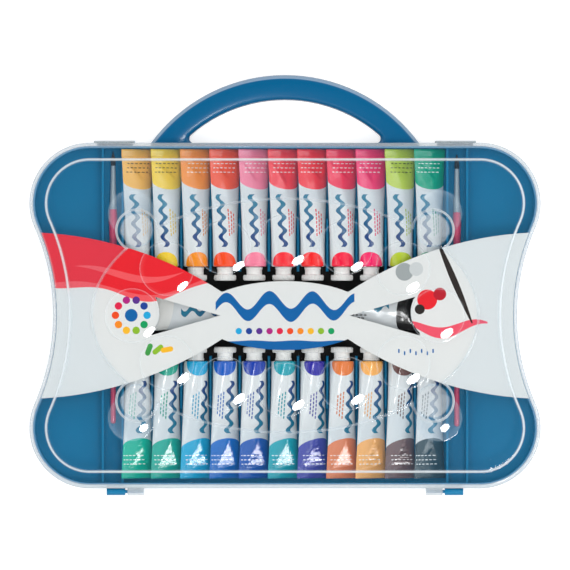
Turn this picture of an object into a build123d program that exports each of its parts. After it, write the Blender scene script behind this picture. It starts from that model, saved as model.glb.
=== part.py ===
from build123d import *
import os
from math import atan2, cos, degrees, pi, radians, sin, sqrt

# Gouache paint set box: a waisted carrying case with a hinged clear lid, full of paint tubes.
# Millimetres. +Z is up out of the lid and +Y is towards the carrying handle.
# The pieces are drawn about the middle of the case, and all of them are moved together at the end, so
# that the origin lies under the middle of the whole box, handle and hinges included.

# ---- driving dimensions ----------------------------------------------------------------------------

# Case outline, measured round the outside of the lid's skirt
case_length = 368.0
case_width = 248.8
case_corner_radius = 43.5
waist_depth = 17.0

# Base tray
base_height = 22.0
base_wall = 1.8
base_floor = 2.2
base_foot_radius = 2.5
lid_gap = 0.4

# Side pockets, brush channels, and the ribs between the tubes
pocket_width = 30.9
divider_wall = 1.6
divider_drop = 5.0
brush_channel_width = 12.7
rib_wall = 1.4
rib_height = 9.5
rib_length = 38.0
rib_lead = 4.0

# Carrying handle
handle_reach = 49.3
handle_latch_gap = 11.3
handle_band = 18.0
handle_foot = 22.6
handle_bottom = 1.0
handle_drop = 5.0
handle_wall = 2.4
handle_deck = 2.8
handle_edge_radius = 3.0
grip_corner_radius = 3.5

# Lid
lid_wall = 1.6
lid_overlap = 4.0
lid_depth = 14.0
lid_edge_radius = 2.2
plateau_inset = 12.0
plateau_rise = 1.5
oval_end_margin = 44.7
oval_side_margin = 40.2
mixing_oval_rise = 1.5
lobe_radius = 14.9
lobe_end_offset = 32.8
lobe_side_offset = 22.8
wells = 12
well_gap = 5.1
well_rise = 1.5
well_end_offset = 29.3
well_side_offset = 30.8

# Hinges
hinge_knuckle_radius = 2.65
hinge_axis_drop = 3.5
hinge_corner_gap = 11.9
base_knuckle_length = 13.3
lid_knuckle_length = 12.0
knuckle_end_gap = 1.7
knuckle_side_gap = 0.6
hinge_pin_radius = 1.2
hinge_pin_clearance = 0.05
hinge_pin_end_gap = 1.0

# Latches
latch_corner_gap = 3.0
latch_length = 29.2
latch_thickness = 1.2
latch_gap = 0.3
latch_axis_drop = 4.0
latch_hook = 2.0
latch_ridge_height = 1.2
latch_ridge_clearance = 0.15
catch_length = 26.0
catch_bottom = 9.5
catch_top = 14.0
catch_gap = 0.4

# Small tubes: they lie along Y, with their caps towards the middle of the case
tubes_in_row = 11
tube_row_slack = 0.7
tube_row_shift_x = -1.1
tube_row_middle_y = 1.2
shoulder_to_shoulder = 69.6
tube_radius = 8.7
tube_end_gap = 0.6
tube_shoulder = 0.8
tube_shoulder_step = 1.6
tube_neck_radius = 4.0
tube_neck_length = 7.4
crimp_length = 5.0
crimp_thickness = 1.8
crimp_tilt = 34.5
cap_length = 9.8
cap_radius = 8.0
cap_flange = 4.2
cap_body_radius = 5.6
cap_foot_radius = 6.0
cap_foot = 1.6

# Large tubes: they lie along X, end to end, with their caps meeting in the middle
large_tube_y = 4.8
large_tube_radius = 10.8
large_tube_end_gap = 2.6
large_tube_shoulder = 1.5
large_shoulder_step = 2.2
large_neck_radius = 5.2
large_neck_length = 10.4
large_crimp_length = 6.0
large_crimp_thickness = 2.0
large_cap_length = 13.4
large_cap_radius = 10.0
large_cap_flange = 5.0
large_cap_body_radius = 7.4
large_cap_foot_radius = 7.9
large_cap_foot = 2.0
large_cap_spacing = 1.2

# Screw caps on their necks
thread_clearance = 0.08
cap_seat_gap = 0.3
cap_end_wall = 1.6
cap_bevel = 0.6

# What the tubes lie on
seat_gap = 0.3
rail_rise = 1.3
rail_wall = 2.0
rail_offset = 6.0
centre_tray_floor = 1.2
centre_tray_gap = 0.4
saddle_wall = 2.4
saddle_length = 20.0
saddle_offset = 14.0

# Brushes
brush_end_gap = 1.9
brush_stagger = 2.2
brush_handle_length = 155.0
brush_start_radius = 2.7
brush_belly_radius = 3.1
brush_belly_offset = 9.0
brush_waist_radius = 2.3
brush_waist_offset = 34.0
brush_end_radius = 2.0
brush_tenon_radius = 1.7
brush_tenon_length = 8.0
ferrule_length = 31.5
ferrule_radius = 2.6
ferrule_tip_radius = 1.55
ferrule_fit = 0.05
tuft_length = 10.4
tuft_root_length = 5.0
tuft_root_radius = 1.1
tuft_belly_radius = 1.75
tuft_belly_offset = 3.5
tuft_point_radius = 0.35

# Mixing dishes
dish_length = 62.0
dish_side_gap = 2.25
dish_height = 10.0
dish_wall = 1.2
dish_draft = 1.6
dish_corner_radius = 3.0

# Printed sheet
sheet_thickness = 0.4
sheet_gap = 0.3
sheet_end_gap = 1.2
wing_half_height = 60.0
wing_edge_radius = 261.0
wing_crest_overhang = 5.0
sheet_oval_length = 124.0
sheet_oval_width = 49.6
window_tip_x = 46.5
window_side_x = 97.0
window_half_height = 14.4
window_round_x = 110.7
window_round_y = 2.5
window_round_radius = 20.2

# ---- sizes worked out from them --------------------------------------------------------------------

# Case outline: a corner arc and a waist arc that meet in a tangent, with the same centres at any inset
case_half_width = case_width / 2
waist_length = case_length - 2 * waist_depth
corner_x = case_length / 2 - case_corner_radius
corner_y = case_half_width - case_corner_radius
waist_step = waist_length / 2 - corner_x
waist_radius = ((waist_step**2 + corner_y**2 - case_corner_radius**2)
                / (2 * (case_corner_radius - waist_step)))
waist_centre_x = waist_length / 2 + waist_radius
waist_angle = degrees(atan2(corner_y, waist_centre_x - corner_x))

# Base tray
base_inset = lid_wall + lid_gap
base_face_y = case_half_width - base_inset
interior_inset = base_inset + base_wall
interior_y = case_half_width - interior_inset
side_x = waist_length / 2 - interior_inset - pocket_width
channel_x = side_x - divider_wall - brush_channel_width
channel_middle_x = channel_x + brush_channel_width / 2
bay_x = channel_x - divider_wall
divider_height = base_height - divider_drop

# Lid
lid_skirt_bottom = base_height - lid_overlap
lid_border_height = lid_skirt_bottom + lid_depth
lid_ceiling = lid_border_height - lid_wall
plateau_height = lid_border_height + plateau_rise
oval_height = plateau_height + mixing_oval_rise
well_height = oval_height + well_rise
mixing_oval_length = case_length - 2 * oval_end_margin
mixing_oval_width = case_width - 2 * oval_side_margin

# Hinges, latches and handle
hinge_axis_y = -case_half_width - hinge_knuckle_radius
hinge_axis_height = base_height - hinge_axis_drop
base_knuckle_x = corner_x - hinge_corner_gap - base_knuckle_length
lid_knuckle_x = base_knuckle_x - knuckle_end_gap - lid_knuckle_length
latch_x = corner_x - latch_corner_gap - latch_length / 2
latch_bottom = catch_bottom - latch_hook
latch_axis_height = lid_border_height - latch_axis_drop
latch_inner_y = case_half_width + latch_gap
latch_axis_y = latch_inner_y + latch_thickness / 2
catch_face_y = latch_inner_y - catch_gap
handle_crest_y = case_half_width + handle_reach
handle_top = base_height - handle_drop
handle_chord = 2 * (latch_x - latch_length / 2 - handle_latch_gap)
grip_chord = handle_chord - 2 * handle_foot

# Tubes
tube_pitch = (2 * bay_x - tube_row_slack) / tubes_in_row
back_shoulder_y = tube_row_middle_y + shoulder_to_shoulder / 2
front_shoulder_y = tube_row_middle_y - shoulder_to_shoulder / 2
tube_length = interior_y - tube_end_gap - back_shoulder_y
small_axis_z = base_floor + rail_rise + seat_gap + tube_radius
tray_deck = base_floor + centre_tray_floor
large_axis_z = tray_deck + seat_gap + large_tube_radius
large_shoulder_x = large_cap_spacing / 2 + large_cap_length + cap_seat_gap + large_tube_shoulder
large_tube_length = bay_x - large_tube_end_gap - large_shoulder_x
tube_xs = [tube_row_shift_x + (i - (tubes_in_row - 1) / 2) * tube_pitch for i in range(tubes_in_row)]

# Brushes and mixing dishes
ferrule_tip_y = interior_y - brush_end_gap - tuft_length - brush_stagger / 2
dish_width = pocket_width - 2 * dish_side_gap

# Middle of the whole box, from the hinge knuckles to the top of the handle
box_middle_y = (handle_crest_y + hinge_axis_y - hinge_knuckle_radius) / 2


# ---- helpers ---------------------------------------------------------------------------------------

def block(x0, x1, y0, y1, z0, z1):
    """Box between two corners."""
    corner = (Align.MIN, Align.MIN, Align.MIN)
    return Pos(min(x0, x1), min(y0, y1), z0) * Box(abs(x1 - x0), abs(y1 - y0), z1 - z0, align=corner)


def prism(face, z0, z1):
    """Flat face raised from z0 to z1."""
    return extrude(Pos(0, 0, z0) * face, z1 - z0)


def rod_x(radius, x0, x1, y, z):
    """Round rod along X."""
    return Pos((x0 + x1) / 2, y, z) * Rot(0, 90, 0) * Cylinder(radius, abs(x1 - x0))


def turned_y(points):
    """Solid turned about the Y axis from (radius, y) points."""
    return revolve(make_face(Polyline(*points, close=True)), Axis.Y)


def case_outline(inset):
    """Plan outline of the case, moved inwards by inset: straight edges, round corners, hollow waist."""
    radius = case_corner_radius - inset

    def on_corner(angle):
        return corner_x + radius * cos(radians(angle)), corner_y + radius * sin(radians(angle))

    def on_waist(angle):
        reach = waist_radius + inset
        return waist_centre_x - reach * cos(radians(angle)), reach * sin(radians(angle))

    corner_middle = (90 - waist_angle) / 2
    quarter = Curve() + [
        Line((0, corner_y + radius), on_corner(90)),
        ThreePointArc(on_corner(90), on_corner(corner_middle), on_corner(-waist_angle)),
        ThreePointArc(on_waist(waist_angle), on_waist(waist_angle / 2), on_waist(0)),
    ]
    half = quarter + mirror(quarter, Plane.XZ)
    return make_face((half + mirror(half, Plane.YZ)).edges())


def bow(chord, rise, base_y):
    """Circle segment that stands on a chord along X."""
    arc = ThreePointArc((-chord / 2, base_y), (0, base_y + rise), (chord / 2, base_y))
    return make_face([arc, Line((-chord / 2, base_y), (chord / 2, base_y))])


def arc_radius(chord, rise):
    """Radius of the circle that a chord and its rise belong to."""
    return (chord**2 / 4 + rise**2) / (2 * rise)


def both_sides(solid):
    """The solid and its mirror image across the middle of the case."""
    return [solid, mirror(solid, Plane.YZ)]


# ---- base tray -------------------------------------------------------------------------------------

def handle():
    """Carrying handle: an arched band, open underneath, that runs into the back wall."""
    outer_radius = arc_radius(handle_chord, handle_reach)
    grip_rise = handle_reach - handle_band
    grip_radius = arc_radius(grip_chord, grip_rise)
    foot = Pos(0, case_half_width) * Rectangle(handle_chord, interior_inset,
                                               align=(Align.CENTER, Align.MAX))
    grip = bow(grip_chord, grip_rise, case_half_width)
    grip = fillet(grip.vertices(), grip_corner_radius)
    band = prism(bow(handle_chord, handle_reach, case_half_width) + foot - grip, handle_bottom, handle_top)
    edges = band.edges().filter_by(GeomType.CIRCLE).group_by(Axis.Z)[-1]
    crests = [edge for edge in edges if edge.radius > handle_band]
    band = fillet(crests, handle_edge_radius)
    hollow = (Pos(0, handle_crest_y - outer_radius) * Circle(outer_radius - handle_wall)
              - Pos(0, case_half_width + grip_rise - grip_radius) * Circle(grip_radius + handle_wall))
    above = Pos(0, case_half_width + handle_wall) * Rectangle(
        handle_chord, handle_reach, align=(Align.CENTER, Align.MIN))
    return band - prism(hollow & above, 0, handle_top - handle_deck)


def hinge_knuckle():
    """Right knuckle of the base, on its arm, with the stub pin that the lid's knuckle turns on."""
    end = base_knuckle_x + base_knuckle_length
    knuckle = rod_x(hinge_knuckle_radius, base_knuckle_x, end, hinge_axis_y, hinge_axis_height)
    arm = block(base_knuckle_x, end, hinge_axis_y, -base_face_y + base_wall / 2,
                hinge_axis_height - hinge_knuckle_radius, hinge_axis_height)
    pin = rod_x(hinge_pin_radius, lid_knuckle_x + hinge_pin_end_gap, base_knuckle_x + hinge_pin_end_gap,
                hinge_axis_y, hinge_axis_height)
    return knuckle + arm + pin


def tube_underside(distance):
    """Depth of a small tube below its axis, at a distance from its shoulder towards the crimp."""
    share = distance / (tube_length - crimp_length)
    half_width = tube_radius + (pi * tube_radius / 2 - tube_radius) * share
    half_thickness = tube_radius + (crimp_thickness / 2 - tube_radius) * share
    tilt = radians(crimp_tilt)
    return sqrt((half_width * sin(tilt))**2 + (half_thickness * cos(tilt))**2)


def tube_supports():
    """Ribs between the tubes, and the two rails under each row."""
    parts = []
    for shoulder_y, outwards in ((back_shoulder_y, 1), (front_shoulder_y, -1)):
        rib_y = shoulder_y - outwards * rib_lead
        for left, right in zip(tube_xs, tube_xs[1:]):
            middle = (left + right) / 2
            parts.append(block(middle - rib_wall / 2, middle + rib_wall / 2,
                               rib_y, rib_y + outwards * rib_length, base_floor / 2, rib_height))
        for distance in (rail_offset, tube_length - crimp_length - rail_offset):
            rail_y = shoulder_y + outwards * distance
            lowest = max(tube_underside(distance - rail_wall / 2), tube_underside(distance + rail_wall / 2))
            parts.append(block(-bay_x, bay_x, rail_y - rail_wall / 2, rail_y + rail_wall / 2,
                               base_floor / 2, small_axis_z - lowest - seat_gap))
    return parts


def base_tray():
    """Blue moulded tray: shell, dividers, ribs, rails, handle, hinge knuckles and latch catches."""
    shell = prism(case_outline(base_inset), 0, base_height)
    shell = fillet(shell.edges().group_by(Axis.Z)[0], base_foot_radius)
    shell -= prism(case_outline(interior_inset), base_floor, base_height)
    parts = tube_supports()
    for inner_x in (bay_x, side_x - divider_wall):
        wall = block(inner_x, inner_x + divider_wall, -interior_y - base_wall / 2,
                     interior_y + base_wall / 2, base_floor / 2, divider_height)
        parts += both_sides(wall)
    catch = block(latch_x - catch_length / 2, latch_x + catch_length / 2,
                  base_face_y - base_wall / 2, catch_face_y, catch_bottom, catch_top)
    parts += both_sides(catch) + both_sides(hinge_knuckle())
    return shell + parts + handle()


# ---- lid -------------------------------------------------------------------------------------------

def mixing_oval(inset):
    """Plan of the mixing oval with its corner lobes."""
    oval = Ellipse(mixing_oval_length / 2 - inset, mixing_oval_width / 2 - inset)
    apart_x = mixing_oval_length - 2 * lobe_end_offset
    apart_y = mixing_oval_width - 2 * lobe_side_offset
    return oval + GridLocations(apart_x, apart_y, 2, 2) * Circle(lobe_radius - inset)


def mixing_wells(inset):
    """Plan of the round wells, evenly spaced on a ring inside the mixing oval."""
    ring = Ellipse(mixing_oval_length / 2 - well_end_offset,
                   mixing_oval_width / 2 - well_side_offset).edge()
    radius = (ring.length / wells - well_gap) / 2
    places = [ring.position_at(i / wells) for i in range(wells)]
    return [Pos(place.X, place.Y) * Circle(radius - inset) for place in places]


def lid_block(inset):
    """The lid as a stepped block: border, plateau, mixing oval and wells, moved in and down by inset."""
    bottom = lid_skirt_bottom - inset
    block_of_lid = prism(case_outline(inset), bottom, lid_border_height - inset)
    if inset == 0:
        block_of_lid = fillet(block_of_lid.edges().group_by(Axis.Z)[-1], lid_edge_radius)
    steps = [(case_outline(plateau_inset + inset), plateau_height), (mixing_oval(inset), oval_height)]
    steps += [(well, well_height) for well in mixing_wells(inset)]
    for plan, height in steps:
        block_of_lid += prism(plan, bottom, height - inset)
    return block_of_lid


def lid():
    """Clear lid with its skirt and hinge knuckles, hollow underneath."""
    shell = lid_block(0) - lid_block(lid_wall)
    end = lid_knuckle_x + lid_knuckle_length
    knuckle = rod_x(hinge_knuckle_radius, lid_knuckle_x, end, hinge_axis_y, hinge_axis_height)
    knuckle += block(lid_knuckle_x, end, hinge_axis_y, -case_half_width + lid_wall / 2,
                     hinge_axis_height, hinge_axis_height + hinge_knuckle_radius)
    bore = hinge_pin_radius + hinge_pin_clearance
    knuckle -= rod_x(bore, lid_knuckle_x, end, hinge_axis_y, hinge_axis_height)
    notch_end = base_knuckle_x + base_knuckle_length + knuckle_side_gap
    notch = block(base_knuckle_x - knuckle_side_gap, notch_end, hinge_axis_y, -base_face_y,
                  0, hinge_axis_height + hinge_knuckle_radius + knuckle_side_gap)
    return shell - both_sides(notch) + both_sides(knuckle)


def latch():
    """Right latch flap, hanging from its hinge line, with the ridge that snaps under the catch."""
    flap = block(latch_x - latch_length / 2, latch_x + latch_length / 2,
                 latch_inner_y, latch_inner_y + latch_thickness, latch_bottom, latch_axis_height)
    flap += rod_x(latch_thickness / 2, latch_x - latch_length / 2, latch_x + latch_length / 2,
                  latch_axis_y, latch_axis_height)
    return flap + block(latch_x - catch_length / 2, latch_x + catch_length / 2,
                        catch_face_y + latch_ridge_clearance, latch_axis_y,
                        latch_bottom, latch_bottom + latch_ridge_height)


def wing_half():
    """Right wing of the printed sheet, cut to the case outline inside the lid's skirt."""
    centre_x = case_length / 2 + wing_crest_overhang
    upper = Pos(centre_x, wing_half_height - wing_edge_radius) * Circle(wing_edge_radius)
    lower = mirror(upper, Plane.XZ)
    right = Rectangle(case_length, case_width, align=(Align.MIN, Align.CENTER))
    return upper & lower & right & case_outline(lid_wall + sheet_end_gap)


def sheet_window():
    """Right window of the printed sheet, pointed at the middle and round at its outer end."""
    pointed = make_face(Polyline((window_tip_x, 0), (window_side_x, window_half_height),
                                 (window_side_x, -window_half_height), close=True))
    return pointed - Pos(window_round_x, window_round_y) * Circle(window_round_radius)


def printed_sheet():
    """Die-cut card under the lid: two wings, an oval in the middle and a window in each wing."""
    plan = Ellipse(sheet_oval_length / 2, sheet_oval_width / 2) + both_sides(wing_half())
    plan -= both_sides(sheet_window())
    top = lid_ceiling - sheet_gap
    return prism(plan, top - sheet_thickness, top)


# ---- paint tubes -----------------------------------------------------------------------------------

def paint_tube(radius, length, shoulder, step, neck_radius, neck_length, crimp, thickness, tilt):
    """Filled tube along +Y from its shoulder at the origin, with its left edge raised by tilt degrees."""
    across = (cos(radians(tilt)), 0, -sin(radians(tilt)))
    flat_half_width = pi * radius / 2
    start = Plane(origin=(0, 0, 0), x_dir=across, z_dir=(0, 1, 0))
    end = Plane(origin=(0, length - crimp, 0), x_dir=across, z_dir=(0, 1, 0))
    body = loft([start * Circle(radius), end * Ellipse(flat_half_width, thickness / 2)], ruled=True)
    fold = extrude(end * Rectangle(2 * flat_half_width, thickness), crimp)
    neck_end = -shoulder - neck_length
    head = turned_y([(0, neck_end), (neck_radius, neck_end), (neck_radius, -shoulder),
                     (radius - step, -shoulder), (radius, 0), (0, 0)])
    return body + fold + head


def screw_cap(shoulder, neck_radius, length, radius, flange, body_radius, foot_radius, foot):
    """Mushroom-shaped cap, on the neck of a tube whose shoulder is at the origin."""
    bore = neck_radius + thread_clearance
    start = -shoulder - cap_seat_gap
    end = start - length
    return turned_y([
        (bore, start), (foot_radius, start), (foot_radius, start - foot), (body_radius, start - foot),
        (body_radius, end + flange), (radius, end + flange), (radius, end + cap_bevel),
        (radius - cap_bevel, end), (0, end), (0, end + cap_end_wall), (bore, end + cap_end_wall),
    ])


def small_tube(tilt):
    return paint_tube(tube_radius, tube_length, tube_shoulder, tube_shoulder_step, tube_neck_radius,
                      tube_neck_length, crimp_length, crimp_thickness, tilt)


def small_cap():
    return screw_cap(tube_shoulder, tube_neck_radius, cap_length, cap_radius, cap_flange,
                     cap_body_radius, cap_foot_radius, cap_foot)


def large_tube():
    return paint_tube(large_tube_radius, large_tube_length, large_tube_shoulder, large_shoulder_step,
                      large_neck_radius, large_neck_length, large_crimp_length, large_crimp_thickness, 0)


def large_cap():
    return screw_cap(large_tube_shoulder, large_neck_radius, large_cap_length, large_cap_radius,
                     large_cap_flange, large_cap_body_radius, large_cap_foot_radius, large_cap_foot)


def tubes_and_caps():
    """Every tube with its cap, by node name."""
    placed = {}
    rows = (("back", back_shoulder_y, 0, small_tube(crimp_tilt)),
            ("front", front_shoulder_y, 180, small_tube(-crimp_tilt)))
    for row, shoulder_y, turn, tube in rows:
        for number, x in enumerate(tube_xs, start=1):
            place = Pos(x, shoulder_y, small_axis_z) * Rot(0, 0, turn)
            placed[f"tube_{row}_{number:02d}"] = place * tube
            placed[f"cap_{row}_{number:02d}"] = place * small_cap()
    for colour, side, turn in (("white", -1, 90), ("black", 1, -90)):
        place = Pos(side * large_shoulder_x, large_tube_y, large_axis_z) * Rot(0, 0, turn)
        placed[f"tube_large_{colour}"] = place * large_tube()
        placed[f"cap_large_{colour}"] = place * large_cap()
    return placed


def centre_tray():
    """Black liner under the caps and the large tubes, slotted round the ribs, with a saddle at each end."""
    front = front_shoulder_y + centre_tray_gap
    back = back_shoulder_y - centre_tray_gap
    end_x = bay_x - centre_tray_gap
    tray = block(-end_x, end_x, front, back, base_floor, tray_deck)
    for left, right in zip(tube_xs, tube_xs[1:]):
        middle = (left + right) / 2
        half = rib_wall / 2 + centre_tray_gap
        for shoulder_y, inwards in ((back_shoulder_y, -1), (front_shoulder_y, 1)):
            tray -= block(middle - half, middle + half, shoulder_y,
                          shoulder_y + inwards * (rib_lead + centre_tray_gap), base_floor, tray_deck)
    distance = large_tube_length - large_crimp_length - saddle_offset
    share = (distance - saddle_wall / 2) / (large_tube_length - large_crimp_length)
    underside = large_tube_radius + (large_crimp_thickness / 2 - large_tube_radius) * share
    saddle_x = large_shoulder_x + distance
    saddle = block(saddle_x - saddle_wall / 2, saddle_x + saddle_wall / 2,
                   large_tube_y - saddle_length / 2, large_tube_y + saddle_length / 2,
                   base_floor, large_axis_z - underside - seat_gap)
    return tray + both_sides(saddle)


# ---- brushes and mixing dishes ---------------------------------------------------------------------

def brush_parts():
    """Handle, ferrule and tuft of a brush along Y, from the ferrule's tip at the origin."""
    handle_y = -ferrule_length
    shape = turned_y([
        (0, handle_y + brush_tenon_length), (brush_tenon_radius, handle_y + brush_tenon_length),
        (brush_tenon_radius, handle_y), (brush_start_radius, handle_y),
        (brush_belly_radius, handle_y - brush_belly_offset),
        (brush_waist_radius, handle_y - brush_waist_offset),
        (brush_end_radius, handle_y - brush_handle_length), (0, handle_y - brush_handle_length),
    ])
    socket = brush_tenon_radius + ferrule_fit
    mouth = tuft_root_radius + ferrule_fit
    socket_end = handle_y + brush_tenon_length + ferrule_fit
    mouth_end = -tuft_root_length - ferrule_fit
    ferrule = turned_y([
        (socket, handle_y), (ferrule_radius, handle_y), (ferrule_tip_radius, 0), (mouth, 0),
        (mouth, mouth_end), (0, mouth_end), (0, socket_end), (socket, socket_end),
    ])
    tuft = turned_y([
        (0, -tuft_root_length), (tuft_root_radius, -tuft_root_length), (tuft_root_radius, 0),
        (ferrule_tip_radius, 0), (tuft_belly_radius, tuft_belly_offset), (tuft_point_radius, tuft_length),
        (0, tuft_length),
    ])
    return shape, ferrule, tuft


def brushes():
    """Both brushes in their channels, the left one a little further back, by node name."""
    handle_solid, ferrule, tuft = brush_parts()
    axis_z = base_floor + seat_gap + brush_belly_radius
    left = Pos(-channel_middle_x, ferrule_tip_y + brush_stagger / 2, axis_z)
    right = Pos(channel_middle_x, ferrule_tip_y - brush_stagger / 2, axis_z)
    return {
        "brush_handle_left": left * handle_solid,
        "brush_handle_right": right * handle_solid,
        "brush_ferrules": Compound([left * ferrule, right * ferrule]),
        "brush_bristles": Compound([left * tuft, right * tuft]),
    }


def mixing_dish():
    """Right mixing dish: a drafted oblong dish with a divider across its middle."""
    middle_x = (side_x + waist_length / 2 - interior_inset) / 2

    def slab(inset, z):
        corner = dish_corner_radius - min(inset, dish_corner_radius / 2)
        return Pos(0, 0, z) * RectangleRounded(dish_width - 2 * inset, dish_length - 2 * inset, corner)

    outside = loft([slab(dish_draft, 0), slab(0, dish_height)], ruled=True)
    inside = loft([slab(dish_draft + dish_wall, dish_wall), slab(dish_wall, dish_height)], ruled=True)
    divider = outside & block(-dish_width, dish_width, -dish_wall / 2, dish_wall / 2,
                              0, dish_height - dish_wall)
    return Pos(middle_x, 0, base_floor) * (outside - inside + divider)


# ---- the whole box ---------------------------------------------------------------------------------

def pieces():
    """Every piece by node name, about the middle of the case."""
    right_latch = latch()
    right_dish = mixing_dish()
    named = {
        "base_tray": base_tray(),
        "lid": lid(),
        "latch_left": mirror(right_latch, Plane.YZ),
        "latch_right": right_latch,
        "printed_sheet": printed_sheet(),
        "centre_tray": centre_tray(),
        "palette_left": mirror(right_dish, Plane.YZ),
        "palette_right": right_dish,
    }
    named.update(brushes())
    named.update(tubes_and_caps())
    return named


if __name__ == "__main__":
    os.makedirs("parts", exist_ok=True)
    for node, piece in pieces().items():
        export_step(Pos(0, -box_middle_y, 0) * piece, f"parts/{node}.step")
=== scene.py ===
from contextlib import contextmanager
import math
import random

import bmesh
import bpy
from bpy.props import (CollectionProperty, FloatProperty, FloatVectorProperty, IntProperty, PointerProperty,
                       StringProperty)
from mathutils import Matrix, Vector, geometry, noise


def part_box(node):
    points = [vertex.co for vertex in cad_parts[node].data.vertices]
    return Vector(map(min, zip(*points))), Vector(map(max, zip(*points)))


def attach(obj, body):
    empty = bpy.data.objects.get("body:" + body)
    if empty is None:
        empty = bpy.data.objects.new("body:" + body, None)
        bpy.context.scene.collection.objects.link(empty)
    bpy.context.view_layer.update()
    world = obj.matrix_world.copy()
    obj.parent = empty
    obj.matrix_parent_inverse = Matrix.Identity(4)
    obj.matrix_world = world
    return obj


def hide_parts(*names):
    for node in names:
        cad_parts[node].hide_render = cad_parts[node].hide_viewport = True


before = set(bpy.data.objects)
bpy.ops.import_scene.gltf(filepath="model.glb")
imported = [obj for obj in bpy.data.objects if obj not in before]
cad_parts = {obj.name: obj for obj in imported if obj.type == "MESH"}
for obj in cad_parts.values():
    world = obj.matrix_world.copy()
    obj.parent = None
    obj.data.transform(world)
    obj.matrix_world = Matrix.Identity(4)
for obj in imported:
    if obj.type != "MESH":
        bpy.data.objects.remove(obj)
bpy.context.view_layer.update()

bl_info = {
    "name": "Gouache Paint Set Box",
    "version": (1, 0, 0),
    "blender": (4, 5, 0),
    "location": "3D View > Sidebar > Paint Box",
    "description": "Dresses a gouache paint set box: case, clear lid, printed card, tubes, caps and brushes",
    "category": "Object",
}

# Metres in a millimetre; sizes are in millimetres unless a comment says metres
MM = 0.001

# The case's own middle lies in front of the origin, because the handle counts in the whole box
CASE_HALF_WIDTH = 124.4
CASE_MIDDLE_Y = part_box("lid")[1].y / MM - CASE_HALF_WIDTH

# Each tube's place, its paint, and the colours of the paint and of the fine print on it
PAINTS = (
    ("back_01", "Amber", "#FFC25C", "#3A3320"), ("back_02", "Lemon", "#FFDA48", "#3A3A1C"),
    ("back_03", "Orange", "#FF9A3A", "#FFF4E0"), ("back_04", "Vermilion", "#FF5C34", "#FFF4EE"),
    ("back_05", "Rose", "#FF8CA8", "#FFF2F4"), ("back_06", "Scarlet", "#FF444C", "#FFF2F0"),
    ("back_07", "Poppy", "#FF3640", "#FFF2F0"), ("back_08", "Carmine", "#FF3456", "#FFF0F2"),
    ("back_09", "Magenta", "#FF3874", "#FFF0F4"), ("back_10", "Lime", "#C4D848", "#33401C"),
    ("back_11", "Emerald", "#08A880", "#F0FFF6"),
    ("front_01", "Jade", "#00BEA0", "#EEFFFA"), ("front_02", "Green", "#04B09A", "#EEFFF6"),
    ("front_03", "Cyan", "#00AEDC", "#EEF8FF"), ("front_04", "Cobalt", "#006CC8", "#EEF4FF"),
    ("front_05", "Ultramarine", "#0C54B4", "#F0F2FF"), ("front_06", "Teal", "#04A8B8", "#EEFFFF"),
    ("front_07", "Violet", "#4442AA", "#F2F0FF"), ("front_08", "Tangerine", "#EC8650", "#FFF4EA"),
    ("front_09", "Ochre", "#FFB866", "#FFF8EA"), ("front_10", "Umber", "#785A58", "#FFF6F2"),
    ("front_11", "Slate", "#3A4C54", "#F2F8FA"),
    ("large_white", "White", "#F1F1EE", "#8E9AA0"), ("large_black", "Black", "#15171A", "#E8ECEE"),
)


def linear(hex_colour):
    """Linear red, green, blue and alpha of an sRGB hex colour."""
    channels = [int(hex_colour[i:i + 2], 16) / 255 for i in (1, 3, 5)]
    return (*(c / 12.92 if c <= 0.04045 else ((c + 0.055) / 1.055) ** 2.4 for c in channels), 1.0)


# ---- settings ----------------------------------------------------------------------------------------

def length(name, description, millimetres):
    """A size that a user can change, given in millimetres and shown in the scene's own unit."""
    return FloatProperty(name=name, description=description, default=millimetres * MM, min=0.0,
                         subtype="DISTANCE", unit="LENGTH", precision=5)


def tint(name, description, hex_colour):
    """A colour that a user can change."""
    return FloatVectorProperty(name=name, description=description, default=linear(hex_colour),
                               size=4, min=0.0, max=1.0, subtype="COLOR")


class CaseSettings(bpy.types.PropertyGroup):
    blue: tint("Blue", "Colour of the moulded tray", "#0076A4")
    grained: tint("Handle blue", "Deeper blue of the grained handle", "#005884")
    liner: tint("Liner", "Colour of the liner under the caps", "#060708")
    dish: tint("Dish", "Colour of the mixing dishes", "#9BA09D")
    edge: length("Edge softness", "Radius that a moulded edge catches the light with", 0.45)


class LidSettings(bpy.types.PropertyGroup):
    wall: length("Wall", "Thickness of the clear wall", 1.6)
    skirt_bottom: length("Skirt bottom", "Height of the skirt's lower edge", 18.0)
    border_height: length("Border height", "Height of the flat border", 32.0)
    edge_radius: length("Edge radius", "Radius between skirt and border", 2.2)
    plateau_inset: length("Plateau inset", "Distance of the first step from the outline", 12.0)
    step_rise: length("Step rise", "Height of each step", 1.5)
    step_run: length("Step run", "Width of the slope of the first step", 2.1)
    oval_run: length("Oval step run", "Width of the slope round the mixing oval", 1.5)
    well_radius: length("Well radius", "Radius of each mixing well", 19.5)
    haze: tint("Haze", "Colour of the light that thick or ground plastic scatters", "#EDF4F8")
    latch_haze: tint("Latch haze", "Colour of the light that the latches scatter", "#7B9098")
    veil: tint("Veil", "Colour of the faint haze of the thin wall", "#6CBCE7")


class CardSettings(bpy.types.PropertyGroup):
    paper: tint("Paper", "Colour of the unprinted card", "#E1E2E1")
    red: tint("Red", "Large printed field", "#E8202C")
    blue: tint("Blue", "Printed wave", "#0060A4")


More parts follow.
